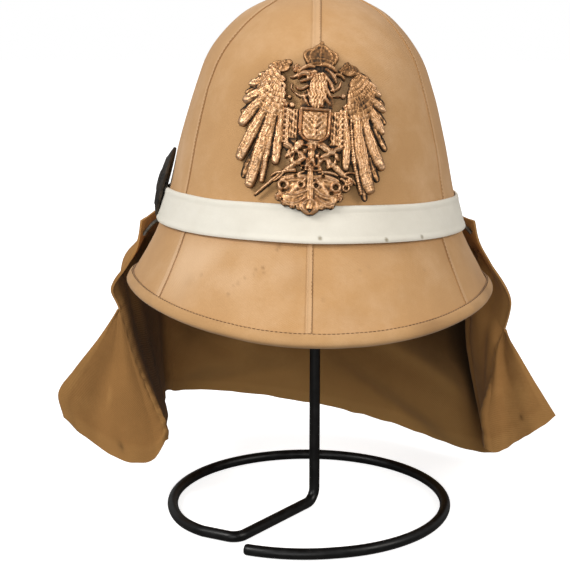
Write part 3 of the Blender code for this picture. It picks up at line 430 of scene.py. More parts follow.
def brim_depth(angle):
    return np.linalg.norm(brim_flat(angle, 1.0) - brim_flat(angle, 0.0), axis=-1)


def seat_matrix():
    place = Matrix.Translation((SEAT_OFFSET[0], SEAT_OFFSET[1], SEAT_HEIGHT))
    roll = Matrix.Rotation(math.radians(ROLL_RIGHT), 4, "Y")
    tilt = Matrix.Rotation(-math.radians(TILT_BACK), 4, "X")
    turn = Matrix.Rotation(math.radians(TURN), 4, "Z")
    return place @ roll @ tilt @ turn


knob_low, knob_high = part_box("stand_knob")
SHIFT = np.array([(knob_low.x + knob_high.x) / 2 - POST_X, (knob_low.y + knob_high.y) / 2, 0.0])
SEAT = np.array(seat_matrix())


def seated(points):
    """Helmet points put where the helmet sits in the frame."""
    return points @ SEAT[:3, :3].T + SEAT[:3, 3] + SHIFT


def seated_way(vectors):
    return vectors @ SEAT[:3, :3].T


# Meshes


def new_piece(name, points, faces, material, uv=None, values=None, smooth_angle=50.0):
    """One mesh object from points and faces, with a UV map and named values for each point."""
    mesh = bpy.data.meshes.new(name)
    mesh.from_pydata(np.asarray(points).reshape(-1, 3).tolist(), [], [list(map(int, f)) for f in faces])
    mesh.validate()
    if uv is not None:
        layer = mesh.uv_layers.new(name="UVMap")
        layer.data.foreach_set("uv", np.asarray(uv, np.float32).ravel())
    for key in ("grime", "rub"):
        layer = mesh.attributes.new(key, "FLOAT", "POINT")
        if values and key in values:
            layer.data.foreach_set("value", np.asarray(values[key], np.float32).ravel())
    for key in set(values or {}) - {"grime", "rub"}:
        layer = mesh.attributes.new(key, "FLOAT", "POINT")
        layer.data.foreach_set("value", np.asarray(values[key], np.float32).ravel())
    mesh.materials.append(material)
    mesh.shade_smooth()
    mesh.set_sharp_from_angle(angle=math.radians(smooth_angle))
    piece = bpy.data.objects.new(name, mesh)
    bpy.context.scene.collection.objects.link(piece)
    return piece


def grid_faces(rows, columns, closed, first=0, flip=False):
    """Quads between rows of points; closed rows run round to their first point."""
    r, c = np.meshgrid(np.arange(rows - 1), np.arange(columns if closed else columns - 1), indexing="ij")
    after = (c + 1) % columns
    a, b = first + r * columns + c, first + (r + 1) * columns + c
    d, e = first + (r + 1) * columns + after, first + r * columns + after
    quads = np.stack([a, b, d, e], -1).reshape(-1, 4)
    return quads[:, ::-1] if flip else quads


def grid_uv(u, v, flip=False):
    """UV corners for grid_faces: u and v have one more column than a closed grid's points."""
    a, b = (u[:-1, :-1], v[:-1, :-1]), (u[1:, :-1], v[1:, :-1])
    d, e = (u[1:, 1:], v[1:, 1:]), (u[:-1, 1:], v[:-1, 1:])
    corners = [np.stack(pair, -1) for pair in ((a, b, d, e)[::-1] if flip else (a, b, d, e))]
    return np.stack(corners, 2).reshape(-1, 2)


def finish_piece(piece, *nodes, slot=None):
    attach(piece, "root")
    if nodes:
        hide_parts(*nodes)
    return piece


def seam_profile(offset, side):
    """How high the cloth stands at a distance from a seam's middle, in strip half widths."""
    x = offset * side
    body = ease(x, -1.35, -0.95) * (1 - ease(x, 0.99, 1.05))
    ridge = 0.20 * bell(x + 0.72, 0.16) + 0.28 * bell(x - 0.90, 0.12)
    groove = -0.30 * bell(x + 0.45, 0.10) - 0.35 * bell(x - 1.12, 0.07)
    return WELT_HEIGHT * (body + (ridge + groove) * (np.abs(x) < 1.4))


def cover_columns(radius, panel_step, seams, bend=0.0):
    """Angles round the helmet for rows of a radius each, and the strip offsets there."""
    radius = np.asarray(radius, float)
    angles, offsets, sides, panels = [], [], [], []
    count = len(seams)
    for index, (seam, side, strip) in enumerate(seams):
        half = np.degrees(np.minimum(strip / np.maximum(radius, 1e-6), 0.11))
        following = seams[(index + 1) % count][0] + (360.0 if index == count - 1 else 0.0)
        steps = int(round((following - seam) / panel_step))
        seam = seam + bend * (index == count - 1)
        following = following + bend * (index == count - 2)
        for offset in STRIP_COLUMNS:
            angles.append(seam + offset * half)
            offsets.append(offset)
            sides.append(side)
            panels.append(
                index if offset * side < 1.0 and side > 0 or offset * side >= 1.0 and side < 0 else index + 1
            )
        start, stop = seam + STRIP_COLUMNS[-1] * half, following + STRIP_COLUMNS[0] * half
        for step in range(1, steps):
            angles.append(start + (stop - start) * step / steps)
            offsets.append(9.0)
            sides.append(1)
            panels.append(index + 1)
    return np.stack(angles, -1), np.array(offsets), np.array(sides), np.array(panels)


def nearest_strip(offsets, sides):
    return np.array(
        [seam_profile(offset, side) if offset < 5 else 0.0 for offset, side in zip(offsets, sides)]
    )


STAINS = (
    # angle on the brim, share down, radius, strength
    (-38.8, 0.405, 0.0010, 0.65),
    (-25.0, 0.41, 0.0011, 0.55),
    (-26.3, 0.44, 0.0009, 0.40),
    (-23.0, 0.35, 0.0008, 0.50),
    (-19.8, 0.26, 0.0009, 0.50),
    (-20.3, 0.31, 0.0007, 0.40),
    (-17.5, 0.23, 0.0010, 0.60),
    (-17.0, 0.28, 0.0007, 0.45),
    (-27.5, 0.54, 0.0010, 0.60),
    (-12.8, 0.035, 0.0013, 0.55),
    (-13.4, 0.07, 0.0008, 0.45),
    (1.8, 0.50, 0.0009, 0.40),
    (14.0, 0.24, 0.0010, 0.30),
    (17.0, 0.20, 0.0008, 0.35),
    (38.0, 0.30, 0.0009, 0.25),
    (-43.8, 0.50, 0.0055, 0.24),
    (-45.0, 0.68, 0.0070, 0.14),
)


def spots(points, table, surface):
    """Small stains: how strongly each marks each point."""
    mark = np.zeros(points.shape[:-1])
    for angle, share, radius, strength in table:
        centre = surface(angle, share)[0]
        away = np.linalg.norm(points - centre, axis=-1)
        mark = np.maximum(mark, strength * np.exp(-(away / radius) ** 2))
    return mark


def build_crown():
    """Six panels of twill drawn over the cork crown, with flat-felled seams."""
    outer_rows = np.concatenate(
        [np.linspace(0, ARC_LENGTH * 0.80, 84), np.linspace(ARC_LENGTH * 0.80, ARC_LENGTH * 0.992, 34)[1:]]
    )[::-1]
    inner_rows = np.linspace(0, ARC_LENGTH * 0.985, 16)
    parts, uvs, grime = [], [], []
    for rows, lift_all in ((outer_rows, None), (inner_rows, -CROWN_WALL)):
        radius = CROWN_HALF_WIDTH * np.interp(rows, ARC, ARC_WIDTH)
        bend = np.interp(rows, [row[0] for row in SEAM_BEND], [row[1] for row in SEAM_BEND])
        angle, offsets, sides, panels = cover_columns(radius, 2.1, CROWN_SEAMS, bend)
        arc = np.broadcast_to(rows[:, None], angle.shape)
        if lift_all is None:
            points, normal = crown_surface(angle, arc)
            lift = nearest_strip(offsets, sides)[None, :] * (
                1 - ease(arc, ARC_LENGTH * 0.93, ARC_LENGTH * 0.97)
            )
            lumps = 0.00030 * noise(points, 0.030, 3) + 0.00012 * noise(points, 0.011, 5)
            along = noise(
                np.stack([arc, angle * 0, angle * 0], -1) * 1.0 + np.round(angle / 60)[..., None], 0.006, 8
            )
            near = np.array([math.exp(-((abs(o) - 1.5) / 0.7) ** 2) if o < 5 else 0.0 for o in offsets])
            lift = lift + lumps + 0.00008 * along * near[None, :]
            points = points + normal * lift[..., None]
        else:
            points, normal = crown_surface(angle, arc, np.full(angle.shape, lift_all))
            points[..., 2] = np.maximum(points[..., 2], 0.0)
        parts.append(points)
        grime.append(np.zeros(angle.shape))
        wrapped = np.concatenate([angle, angle[:, :1] + 360], 1)
        middle = np.array(
            [(CROWN_SEAMS[p - 1][0] + (CROWN_SEAMS[p % 6][0] + (360 if p >= 6 else 0))) / 2 for p in panels]
        )
        uvs.append(
            (
                np.radians(wrapped - np.append(middle, middle[-1])[None, :]) * radius[:, None],
                np.repeat(rows[:, None], wrapped.shape[1], 1)
            )
        )
    count = parts[0].shape[1]
    rows = [p.shape[0] for p in parts]
    apex, _ = crown_surface(0.0, ARC_LENGTH)
    inner_apex = apex - np.array([0, 0, CROWN_WALL])
    points = np.concatenate([apex[None], parts[0].reshape(-1, 3), parts[1].reshape(-1, 3), inner_apex[None]])
    faces = [(0, 1 + c, 1 + (c + 1) % count) for c in range(count)]
    faces += grid_faces(rows[0] + rows[1], count, True, 1).tolist()
    last = len(points) - 1
    base = last - count
    faces += [(base + c, last, base + (c + 1) % count) for c in range(count)]
    u = np.concatenate([uvs[0][0], uvs[1][0]])
    v = np.concatenate([uvs[0][1], uvs[1][1]])
    uv = np.concatenate([np.zeros((count * 3, 2)), grid_uv(u, v), np.zeros((count * 3, 2))])
    local = points
    edge = 0.35 * np.exp(-(local[:, 2] / 0.012) ** 2)
    cloud = 0.09 * np.clip(noise(local, 0.045, 11) + 0.2 * noise(local, 0.015, 12), 0, 1)
    # Painted shade along each seam's folded edge.
    strip = np.concatenate(
        [[0], np.tile(line_shade(angle_offsets(count), 0.55), rows[0]), np.zeros(rows[1] * count + 1)]
    )
    pale = np.concatenate(
        [[0], np.tile(strip_shade(angle_offsets(count)), rows[0]), np.zeros(rows[1] * count + 1)]
    )
    values = {"grime": np.clip(edge + cloud + strip, 0, 1), "rub": pale}
    piece = new_piece("crown_cover", seated(points), faces, khaki, uv, values, 35.0)
    sew_seams(piece, CROWN_SEAMS, "crown")
    return finish_piece(piece, "crown", slot="khaki_cover")


def sew_seams(piece, seams, kind):
    """A row of small stitches just inside each folded edge."""
    if kind == "crown":
        run = np.linspace(arc_at(BAND_HEIGHT), ARC_LENGTH * 0.92, 160)
        radius = CROWN_HALF_WIDTH * np.interp(run, ARC, ARC_WIDTH)
        bend = np.interp(run, [row[0] for row in SEAM_BEND], [row[1] for row in SEAM_BEND])
        surface = crown_surface
    else:
        run, radius, bend = np.linspace(0.02, 0.86, 60), np.full(60, 0.118), 0.0
        surface = brim_surface
    for index, (seam, side, strip) in enumerate(seams):
        half = np.degrees(np.minimum(strip / radius, 0.11))
        angle = seam + bend * (index == 5) + 0.80 * side * half
        points, out = surface(angle, run, np.full(run.shape, WELT_HEIGHT * 1.05))
        sew_row(piece, points, out, 0.0024, 0.0017, 0.0003, seam_thread)


def angle_offsets(count):
    _, offsets, sides, _ = cover_columns(np.array([0.1]), 2.1, CROWN_SEAMS)
    assert len(offsets) == count
    return offsets * sides


def line_shade(offsets, strength):
    """Painted shade along a seam's folded edge and beside its grooves, where the fold throws its shadow."""
    folded = strength * bell(offsets - 1.06, 0.16) + strength * 0.3 * bell(offsets + 1.2, 0.14)
    return np.where(np.abs(offsets) < 5, folded + strength * 0.35 * bell(offsets + 0.45, 0.12), 0.0)


def strip_shade(offsets):
    """A seam's strip is rubbed lighter than the panels beside it."""
    return np.where(
        np.abs(offsets) < 5, 0.30 * ease(offsets, -1.25, -0.9) * (1 - ease(offsets, 0.9, 1.0)), 0.0
    )


def build_brim():
    """The brim's cloth, its seams in line with the crown's."""
    angle_row, offsets, sides, panels = cover_columns(np.array([0.118]), 0.62, BRIM_SEAMS)
    angle_row = angle_row[0]
    upper = np.linspace(0, 1, 44)
    lower = np.linspace(1, 0, 10)
    angle, share = np.meshgrid(angle_row, upper)
    flat, normal = brim_surface(angle, share)
    wave = 0.0007 * noise(flat, 0.034, 21) * share + 0.00028 * noise(flat, 0.012, 22)
    lift = nearest_strip(offsets, sides)[None, :] + wave
    top = flat + normal * lift[..., None]
    angle_low, share_low = np.meshgrid(angle_row, lower)
    bottom, _ = brim_surface(angle_low, share_low, np.full(angle_low.shape, -BRIM_WALL))
    points = np.concatenate([top.reshape(-1, 3), bottom.reshape(-1, 3)])
    count = len(angle_row)
    rows = len(upper) + len(lower)
    faces = grid_faces(rows, count, True)
    close = grid_faces(2, count, True)
    close = np.where(close < count, close + (rows - 1) * count, close - count)
    faces = np.concatenate([faces, close])
    wrapped = np.append(angle_row, angle_row[0] + 360)
    middle = np.array(
        [(BRIM_SEAMS[p - 1][0] + (BRIM_SEAMS[p % 6][0] + (360 if p >= 6 else 0))) / 2 for p in panels]
    )
    u = np.radians(wrapped - np.append(middle, middle[-1])) * 0.13
    downs = np.concatenate([upper, 2 - lower])
    u2, v2 = np.meshgrid(u, downs * 0.06)
    close_uv = grid_uv(np.stack([u, u]), np.stack([u * 0, u * 0 + 0.002]))
    uv = np.concatenate([grid_uv(u2, v2), close_uv])
    grime = np.zeros(len(points))
    marks = spots(flat, STAINS, brim_surface)
    cloud = 0.14 * np.clip(noise(flat, 0.03, 31) + 0.3 * noise(flat, 0.01, 32), 0, 1)
    # Stains and random tone, a darkening next to the crown that is partly dirt under the band and partly
    # painted shade, and painted shade along the seams' folded edges.
    grime[:top.size // 3] = (
        marks + cloud + 0.12 * np.exp(-share * 16) + line_shade(offsets * sides, 0.8)[None, :]
    ).ravel()
    rub = np.zeros(len(points))
    pale = 0.35 * np.clip(noise(flat, 0.04, 41) * 1.2, 0, 1) * bell(share - 0.35, 0.35)
    # Painted highlight: two light patches on the left of the brim, the broad one mottled, where the light
    # falls.
    turned = (angle + 180) % 360 - 180
    mottle = np.clip(0.62 + 0.9 * noise(flat, 0.016, 43), 0, 1)
    pale = (
        pale + 0.95 * mottle * bell(turned + 28.0, 16.0) * bell(share - 0.28, 0.32) + 0.62
        * bell(turned + 47.0, 7.0) * bell(share - 0.40, 0.45)
    )
    rub[:top.size // 3] = np.clip(pale + strip_shade(offsets * sides)[None, :], 0, 1).ravel()
    piece = new_piece(
        "brim_cover", seated(points), faces, khaki, uv, {"grime": np.clip(grime, 0, 1), "rub": rub}, 35.0
    )
    sew_seams(piece, BRIM_SEAMS, "brim")
    return finish_piece(piece, "brim", slot="khaki_cover")


def build_binding():
    """A strip of the same twill folded over the brim's edge, plump at its rim."""
    columns = 420
    angle = np.linspace(0, 360, columns, endpoint=False)
    depth = brim_depth(angle)
    under = -BRIM_WALL - GAP
    outline = []
    for step in np.linspace(1, 0.0, 9):
        puff = 0.0007 * math.sin(math.pi * (0.12 + 0.88 * step)) ** 0.8
        outline.append((step, GAP + BINDING_WALL * (0.45 + 0.55 * (1 - step ** 6)) + puff, 0.0))
    for turn in np.linspace(80, -80, 9):
        swing = math.radians(turn)
        half = BRIM_WALL / 2 + GAP + BINDING_WALL
        outline.append(
            (0.0, -BRIM_WALL / 2 + half * math.sin(swing), GAP + (binding_reach() - GAP) * math.cos(swing))
        )
    for step in np.linspace(0, 1, 6):
        outline.append((step, under - BINDING_WALL, 0.0))
    outline += [(1.0, under, 0.0), (0.0, under, GAP), (0.0, GAP, GAP), (1.0, GAP, 0.0)]
    rows = []
    for back, height, reach in outline:
        share = 1 - back * BINDING_DEPTH / depth
        flat, normal = brim_surface(angle, share)
        slope = unit(brim_flat(angle, 1.0) - brim_flat(angle, 0.97))
        wave = 0.0007 * noise(flat, 0.034, 21)
        wobble = 0.00025 * noise(flat, 0.009, 51) * (1 if height > 0.0006 or reach > 0.0004 else 0)
        rise = np.zeros(columns)
        for seam, _, strip in BRIM_SEAMS:
            away = (angle - seam + 180) % 360 - 180
            rise += WELT_HEIGHT * 0.8 * bell(np.radians(away) * 0.15 / strip, 1.1)
        lift = height + wave + wobble + (rise if height > 0 else 0)
        rows.append(flat + normal * lift[:, None] + slope * reach)
    points = np.array(rows)
    count = len(rows)
    faces = grid_faces(count, columns, True)
    close = grid_faces(2, columns, True)
    close = np.where(close < columns, close + (count - 1) * columns, close - columns)
    faces = np.concatenate([faces, close])
    across = np.concatenate([[0], np.cumsum(np.linalg.norm(np.diff(points[:, 0], axis=0), axis=-1))])
    along = np.linspace(0, 0.90, columns + 1)
    u, v = np.meshgrid(along, across)
    close_uv = grid_uv(np.stack([along, along]), np.stack([along * 0, along * 0 + 0.001]))
    uv = np.concatenate([grid_uv(u, v), close_uv])
    backs = np.array([row[0] for row in outline])
    # Random dirt, plus painted shadow along the binding's inner edges (the rows at its back).
    grime = 0.35 * np.clip(noise(points, 0.02, 61), 0, 1) + 0.45 * (backs > 0.97)[:, None]
    grime = (
        grime + 0.30 * bell(np.arange(count) - 13, 3.0)[:, None]
        * np.clip(noise(points, 0.05, 62) + 0.4, 0, 1)
    )
    piece = new_piece(
        "edge_binding", seated(points), faces, binding_cloth, uv, {"grime": np.clip(grime, 0, 1)}, 50.0
    )
    row = 1
    line = points[row] + (points[row - 1] - points[row]) * 0.35
    _, out = brim_surface(angle, 1 - 0.92 * BINDING_DEPTH / depth)
    line = line + out * 0.00012
    sew_row(
        piece, np.concatenate([line, line[:1]]), np.concatenate([out, out[:1]]), 0.0027, 0.0021, 0.00055,
        stitch_thread
    )
    return finish_piece(piece, "brim_binding", slot="khaki_binding")


BAND_MARKS = (
    # angle, height on the band, radius, strength: pins and small stains
    (0.8, 0.0030, 0.0013, 0.85),
    (23.5, 0.0016, 0.0013, 0.90),
    (38.5, 0.0018, 0.0013, 0.80),
)


def build_band():
    """The white band: cotton tape with folded edges, drawn round the foot of the crown."""
    columns = 900
    angle = np.linspace(0, 360, columns, endpoint=False)
    inner = WELT_HEIGHT + GAP
    foot = GAP * 2
    outline = []
    for share in np.linspace(0, 1, 25):
        edge = min(share, 1 - share) * (BAND_HEIGHT - foot)
        hem = 0.00035 * (1 - ease(edge, 0.0030, 0.0036))
        round_off = 1 - math.sqrt(max(0.0, 1 - (1 - min(edge / 0.0007, 1.0)) ** 2))
        outline.append((1 - share, BAND_WALL - 0.0002 + hem - round_off * 0.0007))
    outline += [(0.0, 0.0), (0.5, 0.0), (1.0, 0.0)]
    rows = []
    for up, out in outline:
        height = foot + (BAND_HEIGHT - foot) * up
        flat, normal = crown_surface(angle, arc_at(np.full(columns, height)))
        ripple = 0.00028 * noise(flat, 0.018, 71) + 0.00012 * noise(flat * np.array([1, 1, 2.5]), 0.007, 72)
        sway = 0.0004 * noise(np.stack([flat[:, 0], flat[:, 1], flat[:, 0] * 0], -1), 0.03, 73)
        lift = inner + out + np.abs(ripple) * (1 if out > 0 else 0)
        point = flat + normal * lift[..., None]
        point[:, 2] = height + sway * (1 if up > 0.5 else 0.4)
        rows.append(point)
    points = np.array(rows)
    count = len(rows)
    faces = grid_faces(count, columns, True)
    close = grid_faces(2, columns, True)
    close = np.where(close < columns, close + (count - 1) * columns, close - columns)
    faces = np.concatenate([faces, close])
    along = np.linspace(0, 0.70, columns + 1)
    u, v = np.meshgrid(along, np.linspace(0, 0.05, count))
    close_uv = grid_uv(np.stack([along, along]), np.stack([along * 0, along * 0 + 0.001]))
    uv = np.concatenate([grid_uv(u, v), close_uv])
    grime = 0.07 * np.clip(noise(points, 0.022, 81) + 0.4 * noise(points, 0.006, 82), 0, 1)
    for pin_angle, pin_height, radius, strength in BAND_MARKS:
        centre, _ = crown_surface(pin_angle, arc_at(pin_height), inner + BAND_WALL)
        grime = np.maximum(
            grime, strength * np.exp(-(np.linalg.norm(points - centre, axis=-1) / radius) ** 4)
        )
    piece = new_piece("white_band", seated(points), faces, white_cotton, uv, {"grime": grime}, 50.0)
    return finish_piece(piece, "hat_band", slot="white_band")


def stitch_tree():
    """Geometry Nodes that lay one stitch on each point, along the seam and flat on the cloth."""
    tree = bpy.data.node_groups.new("sewn_stitches", "GeometryNodeTree")
    sockets = {}
    for name, kind in (
        ("Path", "NodeSocketGeometry"), ("Stitch Length", "NodeSocketFloat"),
        ("Thread Width", "NodeSocketFloat"), ("Thread", "NodeSocketMaterial")
    ):
        sockets[name] = tree.interface.new_socket(name, in_out="INPUT", socket_type=kind).identifier
    tree.interface.new_socket("Stitches", in_out="OUTPUT", socket_type="NodeSocketGeometry")
    given = add(tree, "NodeGroupInput").outputs
    half_long = sum_of(tree, given["Stitch Length"], 0.5, "MULTIPLY")
    half_wide = sum_of(tree, given["Thread Width"], 0.5, "MULTIPLY")
    size = add(tree, "ShaderNodeCombineXYZ", {"X": half_long, "Y": half_wide, "Z": half_wide}).outputs[0]
    ball = add(tree, "GeometryNodeMeshUVSphere", {"Segments": 8, "Rings": 5, "Radius": 1.0}).outputs["Mesh"]
    ways = [
        add(
            tree, "GeometryNodeInputNamedAttribute", {"Name": name}, data_type="FLOAT_VECTOR"
        ).outputs["Attribute"]
        for name in ("along", "out")
    ]
    turn = add(
        tree, "FunctionNodeAxesToRotation", {"Primary Axis": ways[0], "Secondary Axis": ways[1]},
        primary_axis="X", secondary_axis="Z"
    ).outputs[0]
    laid = add(
        tree, "GeometryNodeInstanceOnPoints",
        {"Points": given["Path"], "Instance": ball, "Rotation": turn, "Scale": size}
    ).outputs[0]
    real = add(tree, "GeometryNodeRealizeInstances", {"Geometry": laid}).outputs[0]
    coloured = add(
        tree, "GeometryNodeSetMaterial", {"Geometry": real, "Material": given["Thread"]}
    ).outputs[0]
    add(tree, "NodeGroupOutput", {"Stitches": coloured})
    return tree, sockets


STITCHES, STITCH_SOCKETS = stitch_tree()


def sew(piece, points, along, out, length, width, thread):
    """Add a row of stitches to a finished piece."""
    mesh = bpy.data.meshes.new("stitch_path")
    mesh.from_pydata(points.tolist(), [], [])
    for name, values in (("along", along), ("out", out)):
        mesh.attributes.new(name, "FLOAT_VECTOR", "POINT").data.foreach_set(
            "vector", np.asarray(values, np.float32).ravel()
        )
    path = bpy.data.objects.new("stitch_path", mesh)
    bpy.context.scene.collection.objects.link(path)
    nodes = path.modifiers.new("stitches", "NODES")
    nodes.node_group = STITCHES
    for name, value in (("Stitch Length", length), ("Thread Width", width), ("Thread", thread)):
        nodes[STITCH_SOCKETS[name]] = value
    bpy.context.view_layer.update()
    sewn = bpy.data.meshes.new_from_object(path.evaluated_get(bpy.context.evaluated_depsgraph_get()))
    path.modifiers.clear()
    bpy.data.objects.remove(path)
    work = bmesh.new()
    work.from_mesh(piece.data)
    count = len(work.faces)
    work.from_mesh(sewn)
    work.faces.ensure_lookup_table()
    if thread.name not in piece.data.materials:
        piece.data.materials.append(thread)
    for face in work.faces[count:]:
        face.material_index = len(piece.data.materials) - 1
        face.smooth = True
    work.to_mesh(piece.data)
    work.free()
    bpy.data.meshes.remove(sewn)


def even_steps(points, out, step):
    """Places an even step apart along a curve, with the curve's way and the way out there."""
    lengths = np.concatenate([[0], np.cumsum(np.linalg.norm(np.diff(points, axis=0), axis=1))])
    at = np.arange(step / 2, lengths[-1], step)
    place = np.stack([np.interp(at, lengths, points[:, k]) for k in range(3)], -1)
    way = np.stack([np.interp(at, lengths, np.gradient(points[:, k], lengths)) for k in range(3)], -1)
    normal = np.stack([np.interp(at, lengths, out[:, k]) for k in range(3)], -1)
    return place, unit(way), unit(normal)


def sew_row(piece, points, out, step, length, width, thread):
    place, way, normal = even_steps(seated(points), seated_way(out), step)
    sew(piece, place, way, normal, length, width, thread)


def build_button():
    """A cloth-covered button, its cover gathered in six pleats."""
    columns, rings = 96, 18
    radius, height = 0.0110, 0.0050
    turn = np.linspace(0, 2 * math.pi, columns, endpoint=False)
    rows = []
    for step in np.linspace(0.03, 1, rings):
        swing = step * math.pi / 2
        pleat = 1 + 0.020 * np.cos(6 * turn) * step ** 2
        out = radius * math.sin(swing) ** 0.8 * pleat
        up = CROWN_HEIGHT + GAP + height * math.cos(swing) ** 0.7 * (1 + 0.03 * np.cos(6 * turn) * step)
        rows.append(np.stack([out * np.sin(turn), -out * np.cos(turn), up + 0 * turn], -1))
    rows.append(
        np.stack(
            [
                radius * 0.96 * np.sin(turn), -radius * 0.96 * np.cos(turn),
                0 * turn + CROWN_HEIGHT + GAP * 0.9
            ],
            -1
        )
    )
    points = np.concatenate(
        [
            [[0, 0, CROWN_HEIGHT + GAP + height]], np.array(rows).reshape(-1, 3),
            [[0, 0, CROWN_HEIGHT + GAP * 0.9]]
        ]
    )
    faces = [(0, 1 + c, 1 + (c + 1) % columns) for c in range(columns)]
    faces += grid_faces(rings + 1, columns, True, 1).tolist()
    last = len(points) - 1
    base = last - columns
    faces += [(base + c, last, base + (c + 1) % columns) for c in range(columns)]
    piece = new_piece("top_button", seated(points), faces, khaki)
    return finish_piece(piece, "crown_button", slot="khaki_cover")


